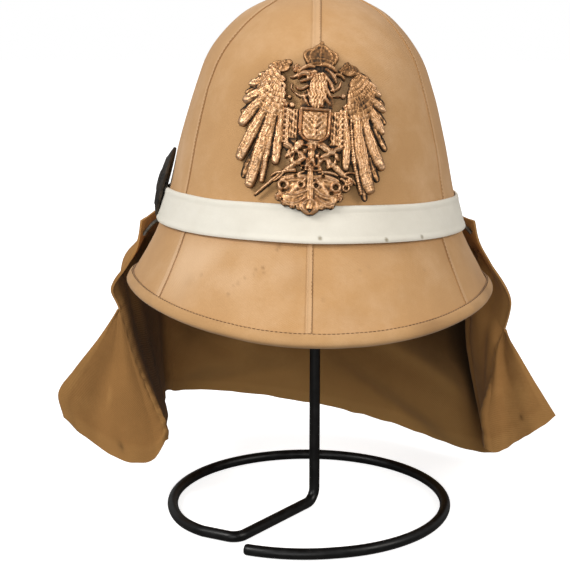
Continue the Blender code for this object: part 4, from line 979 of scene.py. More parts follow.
# The eagle, in millimetres across and up from the plate's middle. Each stroke runs
# from a root past a middle to a tip, with its width at each and its crest's height.
STROKES = {
    "front_feather": (
        # root x, y, middle x, y, tip x, y, widths, crest
        (-22.9, 29.7, -28.7, 28.8, -33.9, 27.9, 2.9, 3.5, 1.7, 2.6),
        (-23.9, 26.8, -31.9, 24.6, -38.0, 22.3, 3.5, 4.7, 3.5, 3.0),
        (-25.9, 22.1, -34.4, 17.0, -40.0, 12.7, 3.5, 5.2, 4.7, 3.4),
        (-26.3, 18.7, -35.7, 8.9, -41.6, -0.6, 3.5, 5.8, 4.7, 3.4),
        (-25.0, 16.4, -33.9, -1.8, -41.3, -20.0, 3.5, 5.8, 4.9, 3.6),
        (-22.6, 14.9, -29.2, -11.3, -34.6, -35.0, 4.1, 6.4, 5.2, 3.8),
        (-21.3, 12.7, -25.3, -9.3, -27.7, -32.4, 2.3, 3.5, 2.9, 3.0),
        (-19.2, 8.2, -20.1, -6.7, -20.8, -20.5, 2.9, 4.7, 4.4, 3.4),
        (18.6, 32.7, 22.7, 33.0, 26.9, 30.9, 2.9, 2.9, 1.7, 2.6),
        (20.6, 28.8, 27.0, 28.7, 33.7, 25.9, 2.9, 3.5, 2.0, 3.0),
        (23.2, 24.4, 30.2, 24.3, 36.6, 21.5, 3.5, 4.4, 2.6, 3.2),
        (25.7, 21.1, 33.0, 17.6, 40.0, 12.8, 3.5, 4.7, 2.6, 3.4),
        (25.9, 18.9, 32.8, 11.3, 39.9, 0.2, 3.5, 5.2, 2.9, 3.4),
        (25.3, 17.7, 31.1, -0.9, 40.7, -19.2, 3.5, 5.8, 4.7, 3.6),
        (23.7, 16.4, 27.5, -9.7, 34.8, -32.7, 4.1, 7.0, 5.5, 3.8),
        (20.7, 7.1, 23.7, -13.9, 29.6, -35.3, 1.7, 2.6, 2.0, 3.0),
        (17.0, 10.3, 19.1, -5.6, 19.7, -21.0, 2.9, 4.9, 3.8, 3.4),
    ),
    "back_feather": (
        (-30.6, 22.4, -35.8, 19.8, -40.6, 17.0, 2.3, 2.9, 1.7, 1.9),
        (-32.5, 14.3, -38.0, 8.8, -42.0, 6.0, 2.3, 3.5, 2.3, 1.9),
        (-34.1, 1.6, -37.7, -7.2, -39.4, -12.4, 2.3, 2.9, 1.7, 1.9),
        (-32.1, -13.2, -36.2, -23.1, -38.6, -31.0, 2.3, 3.5, 2.3, 1.9),
        (27.8, -23.4, 30.6, -32.4, 32.4, -38.3, 2.3, 2.9, 2.3, 1.9),
        (31.0, -9.5, 35.1, -18.9, 38.8, -26.7, 2.3, 3.5, 2.6, 1.9),
        (35.0, 3.4, 39.5, -4.4, 42.5, -9.4, 2.3, 3.2, 2.0, 1.9),
        (32.0, 14.6, 37.5, 9.8, 41.3, 5.5, 2.3, 2.9, 1.5, 1.9),
        (30.5, 20.3, 35.8, 18.9, 39.5, 16.2, 2.3, 2.9, 1.7, 1.9),
    ),
    "lock": (
        (4.5, 33.6, 8.8, 30.4, 10.8, 26.0, 1.7, 2.9, 1.2, 3.6),
        (2.9, 31.2, 7.3, 25.8, 9.9, 20.8, 1.7, 2.9, 1.2, 3.8),
        (0.7, 28.8, 5.1, 22.2, 9.0, 17.3, 1.7, 2.9, 1.2, 4.0),
        (-0.3, 25.3, 3.6, 18.7, 8.6, 13.3, 1.7, 2.9, 1.2, 3.8),
        (-2.5, 22.9, 0.8, 16.8, 4.0, 11.9, 1.7, 2.9, 1.2, 3.8),
        (-5.3, 21.0, -2.7, 16.0, -0.1, 11.6, 1.7, 2.9, 1.2, 3.6),
        (-7.6, 19.2, -6.2, 15.3, -3.6, 12.0, 1.5, 2.3, 1.2, 3.2),
        (1.4, 35.7, 6.1, 35.4, 10.4, 32.8, 1.7, 3.5, 1.7, 3.4),
    ),
    "head": (
        (-4.5, 29.8, -8.6, 30.2, -11.2, 27.2, 4.2, 3.4, 1.2, 4.6),
        (-5.0, 27.2, -7.8, 26.2, -9.8, 25.2, 2.4, 2.0, 1.1, 3.6),
        (-5.6, 23.3, -9.5, 21.4, -12.6, 22.9, 2.4, 2.4, 1.2, 3.4),
        (-4.6, 18.4, -8.7, 17.4, -12.6, 19.2, 2.4, 2.6, 1.2, 3.0),
        (-2.7, 34.6, -7.0, 34.4, -10.6, 31.4, 2.6, 3.4, 2.0, 3.4),
        (-10.0, 31.6, -12.4, 28.6, -15.6, 27.6, 2.0, 2.6, 1.4, 3.2),
        (-12.8, 19.4, -14.6, 21.6, -14.2, 24.4, 1.6, 1.8, 1.0, 2.8),
        (8.2, 21.6, 12.0, 23.4, 13.4, 27.6, 1.8, 2.6, 1.4, 3.2),
        (9.0, 30.6, 12.6, 31.0, 15.4, 28.4, 2.0, 2.4, 1.4, 3.2),
        (7.1, 18.3, 11.2, 18.6, 15.3, 19.1, 1.5, 1.5, 1.5, 3.0),
    ),
    "bow": (
        (-9.8, -13.6, -8.8, -10.6, -6.5, -8.8, 1.7, 2.9, 2.6, 3.4),
        (-11.0, -13.1, -13.4, -11.5, -15.8, -10.5, 1.7, 2.9, 2.3, 3.2),
        (-10.9, -14.2, -12.5, -16.0, -14.2, -17.3, 1.7, 2.9, 2.6, 3.4),
        (-9.1, -14.1, -6.7, -15.1, -4.9, -16.7, 1.7, 2.9, 2.3, 3.2),
        (10.7, -12.9, 7.7, -11.4, 4.6, -9.3, 1.7, 3.5, 3.2, 3.4),
        (10.8, -13.5, 8.5, -14.8, 5.6, -16.1, 1.7, 2.9, 2.6, 3.2),
        (11.9, -12.3, 14.1, -11.0, 16.4, -10.3, 1.7, 2.3, 1.5, 3.2),
        (11.9, -13.4, 13.8, -15.0, 15.1, -16.7, 1.7, 2.6, 2.3, 3.4),
    ),
    "leg": (
        (-4.8, -17.3, -9.3, -21.0, -14.4, -24.7, 2.9, 3.5, 2.3, 3.6),
        (-9.1, -24.4, -13.2, -25.2, -17.8, -26.6, 2.6, 2.3, 2.0, 3.4),
        (-15.5, -25.9, -19.0, -26.7, -22.3, -29.2, 1.7, 1.7, 0.9, 3.0),
        (-15.4, -26.5, -17.6, -29.5, -20.4, -31.9, 1.7, 1.7, 0.9, 3.0),
        (-13.3, -22.9, -21.6, -31.4, -31.0, -41.4, 1.7, 2.0, 1.2, 2.8),
        (8.7, -18.2, 13.6, -21.3, 18.5, -25.6, 2.9, 3.8, 2.9, 3.6),
        (18.5, -25.1, 21.9, -23.7, 24.9, -24.1, 2.0, 1.7, 0.9, 3.2),
        (19.1, -26.2, 22.7, -27.1, 25.8, -30.4, 2.0, 1.7, 0.9, 3.2),
        (17.4, -27.4, 19.9, -29.6, 20.7, -32.9, 2.0, 1.7, 0.9, 3.2),
        (4.4, -24.7, 10.2, -24.4, 15.0, -25.8, 1.7, 2.3, 1.7, 2.8),
        (-3.8, -24.7, -6.7, -26.5, -7.1, -29.4, 1.7, 2.3, 1.7, 2.6),
        (6.1, -23.5, 6.8, -26.3, 5.2, -29.3, 1.7, 2.3, 1.7, 2.6),
    ),
    "tail": (
        (-0.9, -9.6, -0.7, -13.0, -0.5, -17.0, 3.2, 3.4, 3.0, 3.2),
        (-0.4, -23.9, 0.2, -33.5, 0.9, -43.0, 2.6, 3.6, 2.4, 3.9),
        (-0.6, -41.0, -3.4, -45.2, 1.0, -49.0, 2.2, 3.4, 1.4, 3.6),
        (1.8, -40.8, 4.6, -44.8, 1.4, -48.8, 2.2, 3.4, 1.4, 3.6),
        (-2.5, -28.0, -8.9, -29.0, -15.8, -30.5, 2.9, 4.4, 3.5, 3.2),
        (2.8, -28.3, 9.3, -27.9, 15.2, -29.8, 2.9, 4.4, 3.5, 3.2),
        (-1.4, -35.4, -8.3, -38.7, -14.7, -38.5, 2.9, 4.4, 2.9, 3.4),
        (3.8, -35.1, 9.9, -38.2, 15.6, -36.7, 2.9, 4.4, 2.9, 3.4),
        (-1.8, -39.4, -7.4, -43.2, -12.7, -42.9, 2.3, 4.1, 3.5, 3.4),
        (4.1, -39.1, 9.5, -42.8, 13.6, -41.9, 2.3, 4.1, 3.5, 3.4),
        (-1.0, -42.2, -3.8, -45.3, -6.1, -45.4, 2.3, 3.5, 2.3, 3.0),
        (3.6, -42.0, 6.1, -44.1, 7.9, -44.6, 2.3, 3.5, 2.3, 3.0),
    ),
    "crown_bar": (
        (-5.8, 36.4, -8.0, 41.0, -4.2, 43.2, 2.0, 2.6, 1.8, 3.6),
        (-4.4, 42.8, 1.0, 45.8, 6.4, 42.8, 1.8, 2.6, 1.8, 3.7),
        (6.2, 43.2, 10.2, 41.0, 8.0, 36.4, 1.8, 2.6, 2.0, 3.6),
        (-3.8, 36.8, -5.0, 40.8, -1.6, 44.0, 1.0, 1.5, 1.0, 3.3),
        (6.0, 36.8, 7.2, 40.8, 3.6, 44.0, 1.0, 1.5, 1.0, 3.3),
        (1.1, 37.0, 0.9, 41.0, 1.1, 45.4, 1.2, 1.8, 1.2, 3.6),
        (-6.9, 34.6, 1.1, 36.6, 9.1, 34.6, 1.4, 1.6, 1.4, 4.0),
        (-7.3, 36.8, 1.1, 38.9, 9.5, 36.8, 1.0, 1.2, 1.0, 3.7),
    ),
}
KNOBS = (
    # x, y, radius, crest
    (-26.5, 32.4, 2.4, 2.8), (-22.5, 34.0, 2.6, 3.0), (-19.1, 35.4, 2.1, 2.8),
    (-16.8, 36.1, 1.7, 3.4), (-12.5, 32.9, 2.6, 3.8), (-19.7, 26.5, 1.7, 3.0),
    (-20.4, 22.2, 1.6, 3.0), (-19.2, 17.9, 2.0, 3.2), (-17.7, 12.3, 2.3, 3.8),
    (-13.6, 12.0, 1.7, 3.0), (13.9, 33.6, 2.2, 3.0), (16.6, 36.3, 2.4, 3.4),
    (20.3, 33.4, 2.3, 3.0), (24.0, 31.3, 2.1, 2.8), (19.6, 26.5, 1.5, 3.2),
    (21.0, 22.6, 1.5, 3.2), (21.5, 18.6, 1.5, 3.2), (19.9, 15.1, 1.7, 3.2),
    (17.4, 12.9, 2.0, 3.6), (15.3, 19.1, 1.5, 3.4), (-15.3, 16.4, 1.3, 2.4),
    (1.2, 47.3, 1.5, 3.8), (-0.4, -18.2, 2.3, 4.0), (-0.1, -22.7, 2.0, 3.8),
    (-17.0, -40.6, 2.6, 3.6), (-13.6, -43.5, 2.3, 3.4), (-9.1, -44.7, 2.2, 3.4),
    (16.9, -38.3, 2.7, 3.6), (12.8, -43.1, 2.4, 3.4), (8.4, -43.7, 2.1, 3.4),
    (22.2, -29.1, 2.7, 4.0), (-10.3, -13.6, 2.0, 3.8), (11.3, -12.9, 2.0, 3.8),
    (-3.0, 29.4, 3.5, 4.6),
)
EYES = (
    # x, y, outer radius, eye radius, crest
    (-15.0, -33.6, 3.7, 1.1, 3.8),
    (-5.1, -32.5, 3.1, 1.0, 3.4),
    (14.5, -32.7, 3.7, 1.2, 3.8),
    (3.4, -32.5, 2.9, 0.9, 3.4),
    (20.4, -32.7, 2.6, 0.9, 3.2),
    (-19.5, 21.9, 2.1, 0.6, 3.2),
)
# How much wider each kind of stroke is drawn, so that neighbours overlap
FEATHER_GROWTH = {"front_feather": 1.14, "back_feather": 1.40, "leg": 1.12, "bow": 1.15, "tail": 1.15}
# Low ground that ties the relief together: ellipses with their height
GROUNDS = (
    # x, y, half width, half height, height
    (-26.5, 17.0, 8.6, 15.0, 1.8),
    (25.8, 17.5, 8.2, 15.5, 1.8),
    (-24.5, -4.0, 9.0, 14.0, 1.6),
    (25.0, -5.0, 9.0, 14.0, 1.6),
    (-33.5, 8.0, 4.5, 11.0, 1.2),
    (33.5, 6.0, 4.0, 12.0, 1.2),
    (1.5, 28.0, 8.0, 10.0, 1.8),
    (0.5, 14.0, 9.5, 9.0, 1.8),
    (0.0, 0.0, 17.5, 11.5, 1.8),
    (-13.5, -3.5, 5.5, 11.0, 1.4),
    (14.0, -3.0, 5.0, 11.0, 1.4),
    (0.0, -19.0, 5.0, 12.0, 1.8),
    (-7.5, -35.0, 11.0, 8.5, 2.3),
    (8.0, -34.5, 10.5, 8.5, 2.3),
    (1.1, 40.2, 8.4, 5.2, 2.7),
    (-22.0, 33.4, 5.5, 3.0, 2.2),
    (18.6, 34.0, 5.0, 3.2, 2.2),
)
PIERCINGS = (
    # x, y, half width, half height
    (-14.2, -37.0, 1.0, 1.0), (12.4, -36.6, 1.2, 1.0), (-8.3, -27.8, 0.9, 0.9),
    (7.1, -26.9, 0.9, 1.0), (-13.5, -18.9, 0.9, 1.4), (-17.0, -14.6, 0.6, 1.4),
    (15.4, -14.9, 0.6, 1.5), (-5.5, -11.6, 1.0, 1.0), (3.4, -12.2, 1.0, 1.0),
    (-9.2, -7.5, 0.7, 1.0), (9.2, -7.3, 0.9, 1.3), (-8.0, -23.2, 0.7, 1.7),
    (7.0, -18.9, 0.9, 0.8), (-15.0, 24.0, 3.0, 6.6), (-12.5, 14.6, 3.4, 2.6),
    (14.5, 25.0, 3.2, 4.6), (14.0, 15.2, 3.6, 2.6),
)
SHIELD = (0.2, 1.0, 8.8, 9.9)
CHAINS = (
    # x at its top, top, x at its bottom, bottom, half width
    (-16.8, 10.0, -16.6, -9.5, 2.3),
    (16.0, 11.0, 16.6, -9.5, 2.3),
)
SIDE_BANDS = (
    (-12.0, 9.8, -11.8, -6.5, 2.4),
    (11.4, 9.8, 11.8, -9.0, 2.4),
)
PLATE_STEP = 0.35
PLATE_MIDDLE = 0.0648
PLATE_ACROSS = -0.0029
PLATE_BEND_RADIUS = 0.0800
PLATE_STANDOFF = 0.0030
PLATE_ROLL = 3.4


def stroke_field(x, y, row):
    """Distance inside a curved stroke, its half width there, place along and side."""
    rx, ry, mx, my, tx, ty, w0, w1, w2, crest = row
    t = np.linspace(0, 1, 33)
    px = (1 - t) ** 2 * rx + 2 * t * (1 - t) * (2 * mx - (rx + tx) / 2) + t ** 2 * tx
    py = (1 - t) ** 2 * ry + 2 * t * (1 - t) * (2 * my - (ry + ty) / 2) + t ** 2 * ty
    half = np.interp(t, (0, 0.55, 0.92, 1), (w0 / 2, w1 / 2, (w1 + w2) / 4, w2 / 2 * 0.9))
    away = np.hypot(x[..., None] - px, y[..., None] - py)
    at = np.argmax(half - away, -1)
    best = np.take_along_axis(half - away, at[..., None], -1)[..., 0]
    way_x, way_y = np.gradient(px)[at], np.gradient(py)[at]
    long = np.hypot(way_x, way_y)
    across = ((x - px[at]) * way_y - (y - py[at]) * way_x) / np.maximum(long, 1e-9)
    travel = np.concatenate([[0], np.cumsum(np.hypot(np.diff(px), np.diff(py)))])[at]
    travel = travel + ((x - px[at]) * way_x + (y - py[at]) * way_y) / np.maximum(long, 1e-9)
    return best, half[at], travel, across


def plate_relief():
    """The eagle as a height over its back, in millimetres, and how far inside its edge."""
    x, y = np.meshgrid(np.arange(-44.2, 44.3, PLATE_STEP), np.arange(-51.0, 51.2, PLATE_STEP))
    inside = np.full(x.shape, -9.0)
    height = np.zeros(x.shape)

    def put(within, level):
        nonlocal inside, height
        inside = np.maximum(inside, within)
        height = np.where(within > -0.25, np.maximum(height, level), height)

    for cx, cy, half_x, half_y, level in GROUNDS:
        reach = (1 - np.hypot((x - cx) / half_x, (y - cy) / half_y)) * min(half_x, half_y)
        put(reach, level + 0 * x)
    for kind, rows in STROKES.items():
        for number, row in enumerate(rows):
            low_x, high_x = min(row[0:6:2]) - 5, max(row[0:6:2]) + 5
            low_y, high_y = min(row[1:6:2]) - 5, max(row[1:6:2]) + 5
            near = (x > low_x) & (x < high_x) & (y > low_y) & (y < high_y)
            within = np.full(x.shape, -9.0)
            half, travel, across = np.ones(x.shape), np.zeros(x.shape), np.zeros(x.shape)
            grow = FEATHER_GROWTH.get(kind, 1.0)
            row = row[:6] + tuple(width * grow for width in row[6:9]) + row[9:]
            within[near], half[near], travel[near], across[near] = stroke_field(x[near], y[near], row)
            share = np.clip(within / half, 0, 1)
            crest = row[-1]
            if kind in ("head", "lock"):
                within, half = within - 0.22, np.maximum(half - 0.22, 0.3)
                share = np.clip(within / half, 0, 1)
            if kind in ("front_feather", "back_feather"):
                pillow = 0.52 + 0.48 * (1 - (1 - share) ** 2.2)
                level = crest * pillow
                length = math.hypot(row[4] - row[0], row[5] - row[1])
                weave = across + 0.30 * np.sin(travel * 0.55 + number) + 0.12 * np.sin(travel * 1.9)
                flutes = 0.24 * np.cos(2 * math.pi * weave / 1.45) + 0.10 * np.cos(2 * math.pi * weave / 0.8)
                flutes = flutes * (1 - ease(travel / length, 0.84, 1.0)) * ease(share, 0.05, 0.35)
                level = level + flutes * (1 if kind == "front_feather" else 0.5)
                level = level + 0.42 * across / half * (1 if row[0] > 0 else -1)
            elif kind == "lock":
                level = (
                    crest * (0.5 + 0.5 * np.sqrt(share)) + 0.26 * np.sin(across * 5.0 + 0.5 * np.sin(travel))
                )
            elif kind == "tail":
                level = crest * (0.5 + 0.5 * np.sqrt(share)) + 0.24 * np.cos(
                    across * 4.2 + 0.4 * np.sin(travel * 1.3)
                )
            elif kind == "bow":
                level = crest * (0.6 + 0.4 * np.sqrt(share)) + 0.12 * np.cos(across * 4.2)
            else:
                level = crest * (0.45 + 0.55 * np.sqrt(share))
                if kind == "leg":
                    level = level + 0.09 * np.sin(travel * 3.4)
                if kind == "crown_bar":
                    level = level + 0.12 * np.cos(travel * 3.6) * (share > 0.3)
            put(within, level)
    for cx, cy, radius, crest in KNOBS:
        away = np.hypot(x - cx, y - cy)
        share = np.clip(1 - away / radius, 0, 1)
        dent = 0.5 * bell(away, radius * 0.28)
        curl = 0.45 * np.cos(5 * np.arctan2(y - cy, x - cx) + 2.2 * away) * (radius > 1.9)
        put(radius - away, crest * (0.45 + 0.55 * np.sqrt(share)) - dent + curl)
    for cx, cy, outer, eye, crest in EYES:
        away = np.hypot(x - cx, y - cy)
        ring = 1 - np.abs(away - (outer + eye) / 2) / ((outer - eye) / 2)
        put(outer - away, crest * (0.35 + 0.65 * np.sqrt(np.clip(ring, 0, 1))))
    for rows, rope in ((SIDE_BANDS, False), (CHAINS, True)):
        for x0, y0, x1, y1, half in rows:
            down = (y0 - y) / (y0 - y1)
            middle = x0 + (x1 - x0) * down
            side = (x - middle) / half
            within = np.minimum(half - np.abs(x - middle), np.minimum(y0 - y, y - y1))
            if rope:
                beat = np.cos(2 * math.pi * (y - y1) / 3.1)
                rose = 0.55 * np.cos(side * 5.0) * beat + 0.35 * beat
                level = 3.0 + rose - 0.5 * side ** 2
            else:
                level = (
                    2.3 + 0.30 * np.cos(side * 8.5 + 0.5 * np.sin(y)) + 0.22 * np.cos(y * 1.7 + side * 2.4)
                    - 0.4 * side ** 4
                )
            put(within, level)
    cx, cy, half_x, half_y = SHIELD
    dx, dy = np.abs(x - cx), (y - cy)
    round_off = np.where(
        dy < -half_y * 0.25, (np.abs(dy + half_y * 0.25) / (half_y * 0.75)) ** 2.6 * half_x * 0.80, 0
    )
    edge = np.minimum(half_x - dx - round_off, half_y - np.abs(dy))
    frame_rise = 1.15 * bell(edge - 0.75, 0.55)
    groove = -0.55 * bell(edge - 1.75, 0.4)
    grain = noise(np.stack([x, y, 0 * x], -1), 0.9, 93)
    trunk = 0.55 * bell(x - cx, 0.55) * (np.abs(dy) < 6.0)
    sprays = 0.38 * np.sin(np.abs(x - cx) * 1.7 - dy * 2.0) * ease(dx, 0.6, 1.4) * (1 - ease(dx, 4.6, 5.6))
    charge = (trunk + sprays * 0.7 + 0.45 * grain) * ease(edge, 2.0, 2.5)
    put(edge, 3.0 + frame_rise + groove + charge)
    nape = np.maximum(0, 1 - np.hypot((x - 0.8 - (y - 22.0) * 0.05) / 5.4, (y - 21.0) / 10.5))
    locks = 0.30 * np.sin((x + 0.7 * np.sin(y * 0.6)) * 3.6 + 1.1 * np.sin(y * 1.3)) + 0.25 * grain
    put(np.where(nape > 0, nape * 4.6, -9.0), 2.6 + 1.5 * np.sqrt(nape) + locks)
    fan = np.arctan2(x - 0.5, -(y + 25.0))
    far = np.hypot(x - 0.5, y + 25.0)
    leaves = 0.55 * np.cos(fan * 9.0 + 0.5 * np.sin(far * 0.6)) + 0.22 * np.cos(fan * 27.0)
    tail = 1 - np.hypot((x - 0.3) / 17.5, (y + 36.5) / 10.0)
    put(np.where(tail > 0, tail * 10, -9.0), 2.55 + leaves * ease(far, 2.0, 6.0))
    knots = 1 - np.hypot((x - 0.3) / 14.5, (y + 16.5) / 8.0)
    lattice = noise(np.stack([x, y, 0 * x], -1), 2.3, 97)
    put(
        np.where(
            (knots > 0) & (np.abs(lattice) < 0.42), np.minimum(knots * 8, (0.42 - np.abs(lattice)) * 2.5),
            -9.0
        ),
        2.3 + 1.6 * (0.42 - np.abs(lattice)) / 0.42
    )
    socket = np.hypot(x + 4.2, y - 30.0)
    height = height - 0.9 * bell(socket, 0.55) + 0.4 * bell(socket - 1.0, 0.3)
    for cx, cy, turn in ((-25.5, 17.5, 1.0), (25.0, 17.5, -1.0)):
        shoulder = np.clip(1.15 - np.hypot((x - cx) / 9.0, (y - cy) / 15.0), 0, 1)
        radius = np.hypot(
            (x - cx) * 1.15 - turn * 8, (y - cy) * 0.8 - 16.0
        ) + 0.7 * noise(np.stack([x, y, 0 * x], -1), 3.0, 94)
        swing = (
            np.arctan2(y - cy - 16.0, (x - cx) * turn - 8) + 0.02
            * noise(np.stack([x, y, 0 * x], -1), 2.0, 95)
        )
        row_phase = radius / 2.6
        row_number = np.floor(row_phase)
        scale = np.abs(np.sin((swing * 9.0 + (row_number % 2) * 0.5) * math.pi))
        tile = (1 - (row_phase - row_number)) * np.sqrt(scale + 0.05)
        fine = 0.16 * np.sin(swing * 70.0)
        rise = ease(shoulder, 0.15, 0.5)
        height = np.where(
            inside > 0, np.maximum(height, (2.4 + 0.8 * rise + 0.75 * tile + fine) * (rise > 0.02)), height
        )
    for cx, cy, half_x, half_y in PIERCINGS:
        hole = (np.hypot((x - cx) / half_x, (y - cy) / half_y) - 1) * min(half_x, half_y)
        clear = inside.copy()
        inside = np.minimum(inside, hole)
        inside = np.where(
            (half_x > 2.5) & (hole < 0.3) & stands_alone(x, y), np.maximum(inside, np.minimum(clear, 0.5)),
            inside
        )
    for cx, cy, outer, eye, crest in EYES:
        inside = np.minimum(inside, np.hypot(x - cx, y - cy) - eye)
    height = (
        height + 0.20 * noise(np.stack([x, y, 0 * x], -1), 1.0, 91) + 0.22
        * noise(np.stack([x, y, 0 * x], -1), 2.2, 92)
    )
    return x, y, np.clip(height, 0.9, 5.2), inside


def stands_alone(x, y):
    """Where small parts cross the open gaps beside the neck."""
    alone = np.zeros(x.shape, bool)
    for cx, cy, radius, crest in KNOBS:
        alone |= np.hypot(x - cx, y - cy) < radius
    for kind in ("head", "lock"):
        for row in STROKES[kind]:
            within, _, _, _ = stroke_field(x, y, row)
            alone |= within > 0
    return alone


def blur(field, width):
    """Smooth a field of values over a width counted in grid steps."""
    reach = int(width * 2.5)
    kernel = np.exp(-(np.arange(-reach, reach + 1) / width) ** 2)
    kernel /= kernel.sum()
    for axis in (0, 1):
        field = np.apply_along_axis(
            lambda line: np.convolve(np.pad(line, reach, mode="edge"), kernel, "valid"), axis, field
        )
    return field


def plate_surface(across, up, height):
    """Points of the plate: across and up from its middle, height off its back, in metres."""
    roll = math.radians(PLATE_ROLL)
    x = PLATE_ACROSS + across * math.cos(roll) + up * math.sin(roll)
    z = PLATE_MIDDLE + up * math.cos(roll) - across * math.sin(roll)
    skin, normal = crown_surface(0.0, arc_at(z))
    middle = skin + normal * PLATE_STANDOFF
    turn = np.arcsin(np.clip(x / PLATE_BEND_RADIUS, -0.99, 0.99))
    back = PLATE_BEND_RADIUS * (1 - np.cos(turn))
    lean = np.stack([np.sin(turn), normal[..., 1] * np.cos(turn), normal[..., 2] * np.cos(turn)], -1)
    return np.stack([x, middle[..., 1] + back, middle[..., 2]], -1) + lean * height[..., None]


def build_plate():
    """The cast eagle: a pierced relief with thick edges, bent round the crown."""
    x, y, height, inside = plate_relief()
    smoothed = blur(np.where(inside > 0, height, 1.6), 4.0)
    wide = blur(np.where(inside > 0, height, 2.0), 11.0)
    recess = np.clip((smoothed - height) * 0.85 + 0.16, 0, 1) + np.clip((wide - height) * 0.18, 0, 0.4)
    # Painted shade along the rims, growing towards the lower right, away from the light.
    rim_shade = 0.42 * bell(inside - 0.1, 0.45) * ease(
        x * 0.5 - y + 12 * noise(np.stack([x, y, 0 * x], -1), 9.0, 96), -8, 30
    )
    # Darker at the top of the plate, with painted shade over the right wing and above it, away from the
    # light.
    tarnish_and_shade = (
        0.22 * ease(y, 31.0, 37.0) + 0.34 * bell(np.hypot(x - 26.0, y - 15.0), 6.0) + 0.20
        * bell(np.hypot(x - 18.0, y - 30.0), 9.0)
    )
    recess = np.clip(recess + rim_shade + tarnish_and_shade + np.clip(2.2 - height, 0, 1) * 0.55, 0, 1)
    grad_y, grad_x = np.gradient(inside, PLATE_STEP)
    steep = np.maximum(grad_x ** 2 + grad_y ** 2, 0.05)
    move = np.where(inside < 0, -inside / steep, 0)
    edge_x = x + np.clip(grad_x * move, -PLATE_STEP * 0.72, PLATE_STEP * 0.72)
    edge_y = y + np.clip(grad_y * move, -PLATE_STEP * 0.72, PLATE_STEP * 0.72)
    good = inside > 0
    keep = (good[:-1, :-1].astype(int) + good[1:, :-1] + good[1:, 1:] + good[:-1, 1:]) >= 2
    rows, columns = x.shape
    r, c = np.nonzero(keep)
    a, b, d, e = r * columns + c, r * columns + c + 1, (r + 1) * columns + c + 1, (r + 1) * columns + c
    quads = np.stack([a, b, d, e], -1)
    used = np.unique(quads)
    number = np.full(rows * columns, -1)
    number[used] = np.arange(len(used))
    quads = number[quads]
    px, py = edge_x.ravel()[used] * 0.001, edge_y.ravel()[used] * 0.001
    level = height.ravel()[used] * 0.001
    edges = np.concatenate([quads[:, [0, 1]], quads[:, [1, 2]], quads[:, [2, 3]], quads[:, [3, 0]]])
    code = edges[:, 0] * len(used) + edges[:, 1]
    opposite = edges[:, 1] * len(used) + edges[:, 0]
    rim = edges[~np.isin(code, opposite)]
    on_rim = np.zeros(len(used), bool)
    on_rim[rim.ravel()] = True
    level = np.where(on_rim, level * 0.86, level)
    front = plate_surface(px, py, level)
    back = plate_surface(px, py, 0 * level)
    walls = np.stack([rim[:, 1], rim[:, 0], rim[:, 0] + len(used), rim[:, 1] + len(used)], -1)
    faces = np.concatenate([quads, quads[:, ::-1] + len(used), walls])
    points = np.concatenate([front, back])
    dark = np.concatenate([recess.ravel()[used], np.full(len(used), 0.85)])
    piece = new_piece(
        "cast_eagle", seated(points), faces.tolist(), gilded, values={"recess": dark}, smooth_angle=60.0
    )
    return finish_piece(piece, "eagle_plate", slot="gilt_brass")


# Cockade

COCKADE_RADIUS = 0.0237
COCKADE_RISE = 0.0052
COCKADE_WALL = 0.0012
COCKADE_MIDDLE = 0.0235
COCKADE_STANDOFF = 0.0012
COCKADE_PROFILE = (
    # radius share, rise share
    (0.00, 1.00), (0.10, 0.99), (0.22, 0.96), (0.29, 0.90), (0.33, 0.78), (0.38, 0.76),
    (0.48, 0.72), (0.60, 0.65), (0.66, 0.60), (0.70, 0.50), (0.78, 0.40), (0.88, 0.24),
    (0.96, 0.09), (1.00, 0.00),
)


def cockade_place():
    lift = WELT_HEIGHT + GAP + BAND_WALL + COCKADE_STANDOFF
    middle, normal = crown_surface(270.0, arc_at(COCKADE_MIDDLE), lift)
    up = unit(np.array([0, 0, 1.0]) - normal * normal[2])
    return middle, normal, up, np.cross(up, normal)


def build_cockade():
    """The round cockade: pressed metal with fine rays between two beaded rings."""
    middle, normal, up, aside = cockade_place()
    columns = 192
    turn = np.linspace(0, 2 * math.pi, columns, endpoint=False)
    spoke = np.outer(np.cos(turn), up) + np.outer(np.sin(turn), aside)
    rows = []
    shares = np.concatenate([np.linspace(0.02, 0.36, 12), np.linspace(0.38, 1.0, 30)])
    for share in shares:
        rise = np.interp(
            share, [r[0] for r in COCKADE_PROFILE], [r[1] for r in COCKADE_PROFILE]
        ) * COCKADE_RISE
        rays = 0.00022 * np.abs(np.sin(24 * turn)) * ease(share, 0.38, 0.45) * (1 - ease(share, 0.93, 0.98))
        beads = 0.00025 * np.sin(24 * turn) * bell(share - 0.36, 0.02)
        ring = 0.0003 * (bell(share - 0.68, 0.02) + bell(share - 0.97, 0.02))
        rows.append(middle + spoke * COCKADE_RADIUS * share + normal * (rise + rays + beads + ring)[:, None])
    for share in shares[::-3]:
        rise = np.interp(
            share, [r[0] for r in COCKADE_PROFILE], [r[1] for r in COCKADE_PROFILE]
        ) * COCKADE_RISE
        rows.append(middle + spoke * COCKADE_RADIUS * share * 0.985 + normal * (rise - COCKADE_WALL))
    points = np.concatenate(
        [
            [middle + normal * COCKADE_RISE], np.array(rows).reshape(-1, 3),
            [middle + normal * (COCKADE_RISE - COCKADE_WALL)]
        ]
    )
    faces = [(0, 1 + (c + 1) % columns, 1 + c) for c in range(columns)]
    faces += grid_faces(len(rows), columns, True, 1).tolist()
    last = len(points) - 1
    base = last - columns
    faces += [(base + c, base + (c + 1) % columns, last) for c in range(columns)]
    piece = new_piece("pressed_cockade", seated(points), faces, cockade_metal, smooth_angle=40.0)
    face_out(piece.data)
    finish_piece(piece, "cockade", slot="dark_cockade")
    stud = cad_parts["cockade_stud"]
    stud.data.materials.clear()
    stud.data.materials.append(wire_metal)


# Neck curtain

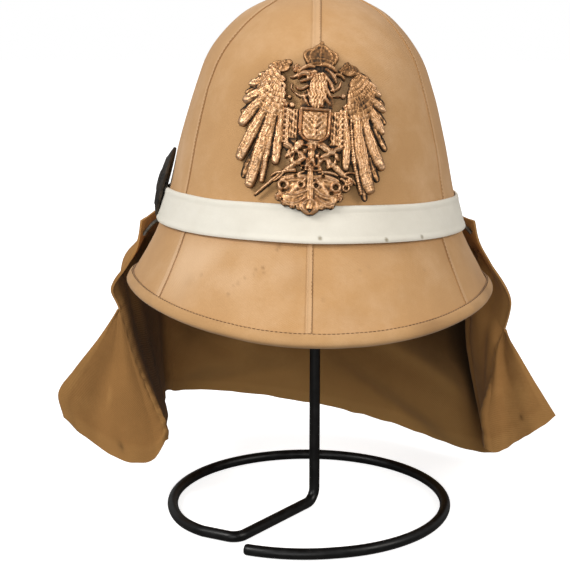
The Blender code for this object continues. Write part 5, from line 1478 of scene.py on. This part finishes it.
CURTAIN_FOLDS = (
    # angle, top off, edge off, hem x, hem y, hem z
    (246.0, 0.085, 0.150, -0.866, 0.404, 0.232),
    (232.0, 0.020, 0.145, -0.923, 0.764, 0.230),
    (215.0, 0.014, 0.075, -0.745, 0.876, 0.212),
    (200.0, 0.013, 0.040, -0.383, 0.975, 0.172),
    (181.0, 0.013, 0.036, -0.024, 1.012, 0.133),
    (162.0, 0.013, 0.040, 0.272, 0.988, 0.098),
    (148.0, 0.013, 0.050, 0.556, 0.888, 0.070),
    (135.0, 0.014, 0.060, 0.833, 0.727, 0.052),
    (126.0, 0.018, 0.078, 1.052, 0.590, 0.042),
    (120.0, 0.024, 0.090, 1.180, 0.596, 0.052),
    (114.0, 0.040, 0.100, 1.098, 0.528, 0.078),
    (108.0, 0.070, 0.115, 1.061, 0.311, 0.137),
)
LEFT_FRONT = (
    # down, x, y, z
    (0.00, -0.956, 0.217, 0.970), (0.14, -0.989, 0.217, 0.876), (0.28, -1.058, 0.224, 0.806),
    (0.42, -1.139, 0.236, 0.727), (0.53, -1.102, 0.248, 0.653), (0.68, -1.005, 0.155, 0.498),
    (0.84, -0.893, 0.081, 0.361), (0.95, -0.822, 0.046, 0.272),
    (1.00, -0.818, 0.031, 0.226),
)
RIGHT_FRONT = (
    (0.00, 0.918, 0.217, 0.973), (0.14, 0.950, 0.217, 0.900), (0.28, 1.019, 0.217, 0.830),
    (0.42, 1.140, 0.217, 0.703), (0.53, 1.116, 0.236, 0.589), (0.60, 1.062, 0.199, 0.522),
    (0.68, 1.036, 0.155, 0.450),
    (0.84, 1.006, 0.093, 0.371), (1.00, 1.000, 0.043, 0.208),
)
LEFT_WING = (
    (0.00, -1.102, 0.248, 0.653), (0.33, -1.206, 0.168, 0.562), (0.66, -1.338, 0.068, 0.465),
    (0.86, -1.415, 0.025, 0.396), (1.00, -1.382, -0.006, 0.316),
)
RIGHT_WING = (
    (0.00, 1.116, 0.236, 0.589), (0.33, 1.158, 0.168, 0.541), (0.66, 1.248, 0.081, 0.448),
    (0.86, 1.302, 0.056, 0.398), (1.00, 1.374, 0.018, 0.331),
)
LEFT_SAG = ((0.0, 0.0), (0.34, 0.090), (0.55, 0.083), (0.78, 0.048), (1.0, 0.0))
RIGHT_SAG = ((0.0, 0.0), (0.25, 0.034), (0.5, 0.027), (0.75, 0.017), (1.0, 0.0))
TURN_ROW = 0.53
CLOTH_THICKNESS = 0.0012
SIDE_BULGE = (0.0108, 0.0060)
HEM_SWING = 0.0032
HALF_LENGTH = (BRIM_FRONT_REACH + BRIM_BACK_REACH) / 2


def curtain_place(shares):
    """A place beside the helmet: shares of the brim's size and the seat's height."""
    shares = np.asarray(shares, float)
    size = np.array([CURTAIN_HALF_WIDTH, HALF_LENGTH, SEAT_HEIGHT])
    return np.array([SEAT_OFFSET[0], SEAT_OFFSET[1], 0]) + shares * size


def edge_curve(rows, share):
    table = np.array(rows)
    return smooth(table[:, 0], curtain_place(table[:, 1:4]), share)


def on_seat(points):
    return points @ SEAT[:3, :3].T + SEAT[:3, 3]


def curtain_fold(row, share):
    """Points down one of the curtain's folds, from the band to the hem."""
    angle, top_off, edge_off, hem_x, hem_y, hem_z = row
    lift = CURTAIN_HALF_WIDTH
    top = on_seat(brim_surface(angle, 0.03, top_off * lift)[0])
    slope = on_seat(brim_surface(angle, 0.50, (top_off + edge_off) / 2 * lift)[0])
    edge = on_seat(brim_surface(angle, 1.00, edge_off * lift)[0])
    hem = curtain_place((hem_x, hem_y, hem_z))
    hang = edge + (hem - edge) * 0.45
    hang = hang + unit(np.array([edge[0], edge[1], 0])) * edge_off * lift * 0.10
    return smooth((0.0, 0.20, 0.42, 0.70, 1.0), np.array([top, slope, edge, hang, hem]), share)


def wing_points(front_rows, wing_rows, sag_rows, across, down):
    fold = edge_curve(front_rows, TURN_ROW + (1 - TURN_ROW) * down)
    free = edge_curve(wing_rows, down)
    sag_table = np.array(sag_rows)
    sag = smooth(sag_table[:, 0], sag_table[:, 1], across)
    corner = sag_table[1, 0]
    if across < corner:
        sag = sag_table[1, 1] * math.sqrt(1 - (1 - across / corner) ** 2)
    place = fold + (free - fold) * across
    place[2] -= sag * SEAT_HEIGHT * down ** 2
    place[1] -= sag * HALF_LENGTH * 0.35 * down
    return place


def curtain_row(down, wing_down):
    """The knots and places that one row of the cloth runs through."""
    steps = (1.0, 0.75, 0.5, 0.25, 0.10)
    near = 0.16
    knots, places = [], []
    left, right = edge_curve(LEFT_FRONT, down), edge_curve(RIGHT_FRONT, down)
    folds = [curtain_fold(fold, down) for fold in CURTAIN_FOLDS]
    last = len(folds) + 1.0
    for step in steps:
        knots.append(-3.0 * step)
        places.append(
            left if wing_down is None else wing_points(LEFT_FRONT, LEFT_WING, LEFT_SAG, step, wing_down)
        )
    knots += [0.0, near]
    places += [left, left + (folds[0] - left) * near]
    knots += [index + 1.0 for index in range(len(folds))]
    places += folds
    knots += [last - near, last]
    places += [right + (folds[-1] - right) * near, right]
    for step in reversed(steps):
        knots.append(last + 3.0 * step)
        places.append(
            right if wing_down is None else wing_points(RIGHT_FRONT, RIGHT_WING, RIGHT_SAG, step, wing_down)
        )
    return np.array(knots), np.array(places)


CREASES = (
    # from column, down, to column, down, width, depth: soft folds in the hung cloth
    (2.1, 0.66, 4.1, 0.88, 0.040, -0.0042),
    (2.0, 0.97, 4.6, 0.79, 0.045, 0.0042),
    (3.2, 0.98, 4.9, 0.86, 0.030, -0.0024),
    (4.2, 0.70, 6.2, 0.90, 0.050, -0.0030),
    (5.3, 0.74, 8.6, 0.98, 0.050, 0.0046),
    (5.6, 0.86, 8.0, 1.00, 0.035, -0.0030),
    (6.4, 0.70, 8.9, 0.86, 0.045, -0.0036),
    (7.2, 0.66, 9.0, 0.74, 0.045, 0.0030),
)


def build_curtain():
    """The neck curtain: one sheet of drill with a sewn hem, its front corners turned out."""
    last = len(CURTAIN_FOLDS) + 1
    wing = np.concatenate([np.linspace(-3, -0.35, 34), np.linspace(-0.31, -0.02, 10)])
    columns = np.concatenate([wing, np.linspace(0, last, 262), last - wing[::-1]])
    first_main = len(wing)
    last_main = first_main + 261
    upper = 62
    lower = 62
    rows_total = upper + lower + 1
    grid = np.zeros((rows_total, len(columns), 3))
    downs = np.zeros(rows_total)
    for row in range(rows_total):
        if row <= upper:
            down, wing_down = TURN_ROW * row / upper, None
        else:
            wing_down = (row - upper) / lower
            down = TURN_ROW + (1 - TURN_ROW) * wing_down
        downs[row] = down
        knots, places = curtain_row(down, wing_down)
        if wing_down is None:
            knots, places = knots[5:-5], places[5:-5]
            grid[row] = smooth(knots, places, np.clip(columns, 0, last))
        else:
            grid[row] = smooth(knots, places, columns)
    c, d = np.meshgrid(columns, downs)
    normal = sheet_normals(grid)
    main = (c > 0) & (c < last)
    free = ease(d, 0.05, 0.35)
    push = 0.0011 * noise(np.stack([c * 0.9, d * 2.2, 0 * c], -1), 1.0, 101) * free
    push += 0.0006 * noise(np.stack([c * 2.0, d * 3.0, 0 * c], -1), 1.0, 102) * free
    push += 0.00022 * noise(grid, 0.009, 103)
    for c0, d0, c1, d1, width, depth in CREASES:
        run_c, run_d = (c1 - c0) / 8, d1 - d0
        along = ((c - c0) / 8 * run_c + (d - d0) * run_d) / (run_c ** 2 + run_d ** 2)
        across = (((c - c0) / 8) * run_d - (d - d0) * run_c) / math.hypot(run_c, run_d)
        push += depth * bell(across, width) * ease(along, -0.15, 0.25) * (1 - ease(along, 0.8, 1.15)) * main
    side = ((c > 0) & (c < 2.2)) | ((c > last - 2.4) & (c < last))
    push += 0.0009 * np.sin(c * 9 + 2.0 * noise(np.stack([c, d * 2, 0 * c], -1), 0.6, 104)) * side * free
    wings = ~main
    push += wings * (
        0.0012 * np.sin(c * 3.1 + d * 5) + 0.0005 * noise(np.stack([c * 2, d * 6, 0 * c], -1), 1.0, 105)
    ) * ease(d, TURN_ROW, 0.75)
    fold_near = np.minimum(np.abs(c), np.abs(c - last))
    push += 0.00025 * np.sin(d * 150) * bell(fold_near, 0.08) * (d > TURN_ROW)
    hem_wave = 0.0011 * noise(
        np.stack([c * 1.4, 0 * c, 0 * c], -1), 0.5, 106
    ) + 0.0007 * noise(np.stack([c, 0 * c, 0 * c], -1), 0.22, 107)
    hem_wave = hem_wave * ease(d, 0.90, 1.0)
    grid = grid + normal * push[..., None]
    bulge = ease(c, 10.2, 11.4) * (1 - ease(c, 11.7, 12.95)) * bell(d - 0.67, 0.24) * (d > 0.3)
    grid[..., 0] -= SIDE_BULGE[0] * bulge + HEM_SWING * bell(c - last, 0.5) * bell(d - 0.90, 0.06)
    grid[..., 1] -= SIDE_BULGE[1] * bulge
    grid[..., 2] += hem_wave
    hem = hem_thickness(c, d, last)
    half = CLOTH_THICKNESS / 2 + hem
    normal = sheet_normals(grid)
    outer = grid + normal * half[..., None]
    inner = grid - normal * half[..., None]
    count = rows_total * len(columns)
    r, k = np.meshgrid(np.arange(rows_total - 1), np.arange(len(columns) - 1), indexing="ij")
    has = ((k >= first_main) & (k < last_main)) | (r >= upper)
    r, k = r[has], k[has]
    width = len(columns)
    a, b = r * width + k, (r + 1) * width + k
    quads = np.stack([a, b, b + 1, a + 1], -1)
    across = np.concatenate(
        [np.zeros((rows_total, 1)), np.cumsum(np.linalg.norm(np.diff(grid, axis=1), axis=-1), 1)], 1
    )
    drop = np.concatenate(
        [np.zeros((1, width)), np.cumsum(np.linalg.norm(np.diff(grid, axis=0), axis=-1), 0)]
    )
    drop = np.broadcast_to(drop.mean(1, keepdims=True), drop.shape)
    across = np.broadcast_to(across[-1:], across.shape)
    merge = np.arange(count)
    for row in range(upper):
        start = row * width
        merge[start:start + first_main] = start + first_main
        merge[start + last_main + 1:start + width] = start + last_main
    quads = merge[quads]
    edges = np.concatenate([quads[:, [0, 1]], quads[:, [1, 2]], quads[:, [2, 3]], quads[:, [3, 0]]])
    code, opposite = edges[:, 0] * count + edges[:, 1], edges[:, 1] * count + edges[:, 0]
    rim = edges[~np.isin(code, opposite)]
    walls = np.stack([rim[:, 1], rim[:, 0], rim[:, 0] + count, rim[:, 1] + count], -1)
    faces = np.concatenate([quads, quads[:, ::-1] + count, walls])
    points = np.concatenate([outer.reshape(-1, 3), inner.reshape(-1, 3)]) + SHIFT
    flat_uv = np.stack([across.ravel(), drop.ravel()], -1)
    flat_uv = np.concatenate([flat_uv, flat_uv])
    dust = 0.16 * np.clip(noise(grid, 0.05, 111) + 0.4 * noise(grid, 0.016, 112), 0, 1)
    # Dust and stains, plus painted shade inside the curtain.
    grime = dust + curtain_stains_and_shade(c, d, last)
    # Lighter along the turned-back fold and the doubled hem, partly wear and partly painted light on these
    # edges, plus the painted light of the back.
    rub = 0.35 * np.clip(
        bell(fold_near, 0.05) * (d > TURN_ROW) + ease(hem, 0.0001, 0.0003) * 0.5, 0, 1
    ) + curtain_painted_light(c, d)
    rub = np.clip(rub, 0, 1)
    values = {
        "grime": np.clip(np.concatenate([grime.ravel(), dust.ravel()]), 0, 1),
        "rub": np.concatenate([rub.ravel()] * 2)
    }
    used = np.unique(faces)
    number = np.full(2 * count, -1)
    number[used] = np.arange(len(used))
    faces = number[faces]
    piece = new_piece(
        "neck_curtain_cloth", points[used], faces.tolist(), drill, flat_uv[used[faces.ravel()]],
        {key: value[used] for key, value in values.items()}, 60.0,
    )
    finish_piece(piece, "neck_curtain", slot="curtain_drill")
    return piece


def sheet_normals(grid):
    along = np.gradient(grid, axis=1)
    down = np.gradient(grid, axis=0)
    return unit(np.cross(down, along))


def hem_thickness(c, d, last):
    """The cloth is doubled along its hem and its front edges, with a dip at the seam."""
    drop = (1 - d) * 0.19
    hem = 0.00045 * (1 - ease(drop, 0.0075, 0.0085)) - 0.00025 * bell(drop - 0.0072, 0.0007)
    side = np.where(
        c < last / 2, np.where(d > TURN_ROW, c + 3.0, c), np.where(d > TURN_ROW, last + 3.0 - c, last - c)
    )
    away = side * np.where(d > TURN_ROW, 0.022, 0.030)
    front = 0.00040 * (1 - ease(away, 0.0065, 0.0075)) - 0.00025 * bell(away - 0.0062, 0.0007)
    return np.maximum(hem, front)


def curtain_stains_and_shade(c, d, last):
    """Stains, and painted shade: the curtain's inner sides, under the brim and the deep shade at the back
    right.
    """
    marks = np.zeros(c.shape)
    # Two small stains low on the turned-out corners, then wide dark patches high on the back; the strongest,
    # at the back right, is painted shade under the brim.
    for column, down, radius, strength in (
        (-1.25, 0.969, 0.035, 0.7),
        (last + 1.8, 0.95, 0.035, 0.6),
        (3.0, 0.62, 0.45, 0.22),
        (5.6, 0.62, 0.7, 0.22),
        (8.7, 0.60, 0.9, 0.80),
        (6.8, 0.55, 1.2, 0.35),
    ):
        marks = np.maximum(
            marks, strength * np.exp(-((c - column) ** 2 + ((d - down) * 8) ** 2) / radius ** 2 / 4)
        )
    # Painted shade on the inner faces of the curtain's sides, and painted shadow of the brim on the back.
    left_inner_shade = ease(c, 0.05, 0.25) * (1 - ease(c, 1.9, 2.25)) * ease(d, 0.30, 0.45)
    right_inner_shade = (
        ease(c, 7.0 + 1.6 * ease(d, 0.64, 0.82), 9.2) * (1 - ease(c, 10.6, 11.2)) * ease(d, 0.35, 0.5)
        * (1 - 0.6 * ease(d, 0.80, 1.0))
    )
    brim_shadow = ease(c, 2.3, 2.8) * (1 - ease(c, 4.4, 5.6)) * (1 - ease(d + 0.05 * (c - 3.0), 0.74, 0.84))
    marks = np.maximum(marks, 0.32 * brim_shadow)
    return np.maximum(marks, np.maximum(0.52 * left_inner_shade, 0.96 * right_inner_shade))


def curtain_painted_light(c, d):
    """Painted light on the drill: the low middle of the back, lit below the brim's shade, and thin light
    streaks on a lapel and across a fold of the back.
    """
    low = ease(d, 0.66, 0.95) * ease(c, 2.2, 3.4) * (1 - ease(c, 8.4, 9.2))
    streak = 0.4 * bell(c + 1.6, 0.05) * bell(d - 0.84, 0.03)
    streak = (
        streak + 0.45 * bell(d - 0.72 - 0.055 * (c - 6.5), 0.030) * ease(c, 4.2, 6.0)
        * (1 - ease(c, 8.0, 8.9))
    )
    return 0.55 * low + streak


def keep_hooks():
    for name in ("curtain_hook_left", "curtain_hook_right"):
        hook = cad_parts[name]
        hook.data.materials.clear()
        hook.data.materials.append(wire_metal)


# The stand


def fillet(before, corner, after, radius, steps):
    """The points of a round bend in place of a corner."""
    arrive = (corner - before).normalized()
    leave = (after - corner).normalized()
    turn = arrive.angle(leave)
    reach = radius * math.tan(turn / 2)
    start = corner - arrive * reach
    middle = start + (leave - arrive * arrive.dot(leave)).normalized() * radius
    points = []
    for step in range(steps + 1):
        swing = turn * step / steps
        points.append(middle + (start - middle) * math.cos(swing) + arrive * radius * math.sin(swing))
    return points, corner + leave * reach


def ring_place(angle, radius, height):
    turn = math.radians(angle)
    return Vector((radius * math.cos(turn), radius * math.sin(turn), height))


def tube(name, path, radius, sides, material, aside):
    """A round rod along a path, its ends softly rounded off."""
    path = [Vector(p) for p in path]
    start, stop = path[0], path[-1]
    first_way = (path[1] - path[0]).normalized()
    last_way = (path[-1] - path[-2]).normalized()
    rings = [
        (start, first_way, 0.55), (start + first_way * radius * 0.12, first_way, 0.86),
        (start + first_way * radius * 0.4, first_way, 1.0)
    ]
    for index in range(1, len(path) - 1):
        rings.append((path[index], (path[index + 1] - path[index - 1]).normalized(), 1.0))
    rings += [
        (stop - last_way * radius * 0.4, last_way, 1.0), (stop - last_way * radius * 0.12, last_way, 0.86),
        (stop, last_way, 0.55)
    ]
    rows = []
    aside = Vector(aside).normalized()
    for place, way, size in rings:
        aside = (aside - way * aside.dot(way)).normalized()
        over = aside.cross(way)
        turn = np.linspace(0, 2 * math.pi, sides, endpoint=False)
        ring = np.outer(np.cos(turn), np.array(aside)) + np.outer(np.sin(turn), np.array(over))
        rows.append(np.array(place) + ring * radius * size)
    points = np.array(rows).reshape(-1, 3)
    faces = grid_faces(len(rings), sides, True).tolist()
    points = np.concatenate([points, [np.array(start)], [np.array(stop)]])
    last = (len(rings) - 1) * sides
    faces += [((s + 1) % sides, s, len(points) - 2) for s in range(sides)]
    faces += [(last + s, last + (s + 1) % sides, len(points) - 1) for s in range(sides)]
    piece = new_piece(name, points, faces, material, smooth_angle=60.0)
    face_out(piece.data)
    return piece


def face_out(mesh):
    work = bmesh.new()
    work.from_mesh(mesh)
    bmesh.ops.recalc_face_normals(work, faces=work.faces)
    work.to_mesh(mesh)
    work.free()


def build_stand():
    """One drawn steel rod, enamelled black: ring, spoke and post."""
    level = ROD_WIDTH / 2
    shift = Vector(SHIFT)
    foot = Vector((POST_X, 0, level)) + shift
    joint = ring_place(RING_START_ANGLE, RING_START_RADIUS, level) + shift
    steps = 150
    ring = []
    for step in range(1, steps + 1):
        share = step / steps
        settle = min(share / 0.10, 1.0)
        open_end = max(share - 0.90, 0.0) / 0.10
        radius = RING_START_RADIUS + (RING_RADIUS - RING_START_RADIUS) * math.sin(settle * math.pi / 2)
        radius += (RING_END_RADIUS - RING_RADIUS) * open_end
        ring.append(ring_place(RING_START_ANGLE - RING_SWEEP * share, radius, level) + shift)
    top = Vector((foot.x, foot.y, knob_low.z))
    foot_bend, foot_end = fillet(top, foot, joint, FOOT_BEND_RADIUS, 16)
    joint_bend, _ = fillet(foot, joint, ring[6], RING_BEND_RADIUS, 16)
    path = [top] + [top.lerp(foot_bend[0], share) for share in np.linspace(0.02, 0.98, 24)] + foot_bend
    path += [foot_end.lerp(joint_bend[0], share) for share in (0.2, 0.4, 0.6, 0.8)] + joint_bend + ring[6:]
    aside = (joint - foot).cross(Vector((0, 0, 1)))
    rod = tube("bent_rod", path, ROD_WIDTH / 2, 28, enamel, aside)
    finish_piece(rod, "stand_rod", slot="black_rod")
    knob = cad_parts["stand_knob"]
    knob.data.materials.clear()
    knob.data.materials.append(enamel)
    return rod


# Camera, light and floor

FOCAL_PIXELS = 1371.4
PICTURE_WIDTH = 570


def floor_paper():
    """White studio paper: it takes soft shadows near the piece and fades to plain white far off."""
    material, tree, shader = new_finish("white_studio_paper")
    shader.inputs["Roughness"].default_value = 1.0
    shader.inputs["Specular IOR Level"].default_value = 0.0
    shader.inputs["Base Color"].default_value = (0.80, 0.80, 0.80, 1)
    shader.inputs["Emission Color"].default_value = (1, 1, 1, 1)
    place = add(tree, "ShaderNodeTexCoord").outputs["Object"]
    away = add(tree, "ShaderNodeVectorMath", {0: place}, operation="LENGTH").outputs["Value"]
    glow = add(
        tree, "ShaderNodeMapRange",
        {"Value": away, "From Min": 0.15, "From Max": 0.9, "To Min": 0.78, "To Max": 1.0}
    )
    tree.links.new(glow.outputs["Result"], shader.inputs["Emission Strength"])
    dim = add(tree, "ShaderNodeBsdfDiffuse", {"Color": (0.24, 0.235, 0.23, 1)}).outputs[0]
    seen = add(tree, "ShaderNodeLightPath").outputs["Is Camera Ray"]
    blend = add(tree, "ShaderNodeMixShader", {0: seen, 1: dim, 2: shader.outputs[0]}).outputs[0]
    tree.links.new(blend, tree.nodes["Material Output"].inputs["Surface"])
    return material


def build_room():
    scene = bpy.context.scene
    camera = bpy.data.objects.new("camera", bpy.data.cameras.new("camera"))
    scene.collection.objects.link(camera)
    scene.camera = camera
    camera.data.sensor_width = 36.0
    camera.data.lens = camera.data.sensor_width * FOCAL_PIXELS / PICTURE_WIDTH
    camera.data.clip_start = 0.05
    camera.data.clip_end = 50.0
    camera.location = Vector((POST_X, -0.9087, 0.3536)) + Vector(SHIFT)
    camera.rotation_euler = (math.radians(90 - 12.193), 0.0, math.radians(1.294))
    scene.view_settings.view_transform = "Standard"
    scene.view_settings.look = "None"
    world = bpy.data.worlds.new("studio_air")
    scene.world = world
    world.use_nodes = True
    tree = world.node_tree
    back = tree.nodes["Background"]
    back.inputs["Color"].default_value = (1, 1, 1, 1)
    seen = add(tree, "ShaderNodeLightPath").outputs["Is Camera Ray"]
    strength = add(
        tree, "ShaderNodeMapRange", {"Value": seen, "To Min": 0.30, "To Max": 1.0}
    ).outputs["Result"]
    tree.links.new(strength, back.inputs["Strength"])
    mesh = bpy.data.meshes.new("floor")
    reach = 6.0
    mesh.from_pydata(
        [(-reach, -reach, 0), (reach, -reach, 0), (reach, reach, 0), (-reach, reach, 0)], [], [(0, 1, 2, 3)]
    )
    floor = bpy.data.objects.new("floor", mesh)
    scene.collection.objects.link(floor)
    mesh.materials.append(floor_paper())
    floor.location.z = -0.0002
    lights = (
        # name, place, size, power, colour
        ("key_softbox", (-1.35, -0.95, 1.45), 0.8, 23.2, (1.0, 0.985, 0.955)),
        ("fill_softbox", (1.35, -0.75, 1.05), 0.9, 11.3, (1.0, 0.96, 0.90)),
        ("front_softbox", (-0.25, -1.90, 0.55), 1.2, 9.8, (1.0, 0.99, 0.97)),
        ("top_softbox", (0.0, -0.1, 1.7), 1.4, 2.0, (1.0, 1.0, 1.0)),
    )
    for name, place, size, power, colour in lights:
        data = bpy.data.lights.new(name, "AREA")
        data.energy = power
        data.size = size
        data.color = colour
        light = bpy.data.objects.new(name, data)
        scene.collection.objects.link(light)
        light.location = place
        aim = Vector((0.0, 0.0, 0.22)) - Vector(place)
        light.rotation_euler = aim.to_track_quat("-Z", "Y").to_euler()


build_room()
build_crown()
build_brim()
build_binding()
build_band()
build_button()
build_plate()
build_cockade()
build_curtain()
keep_hooks()
build_stand()
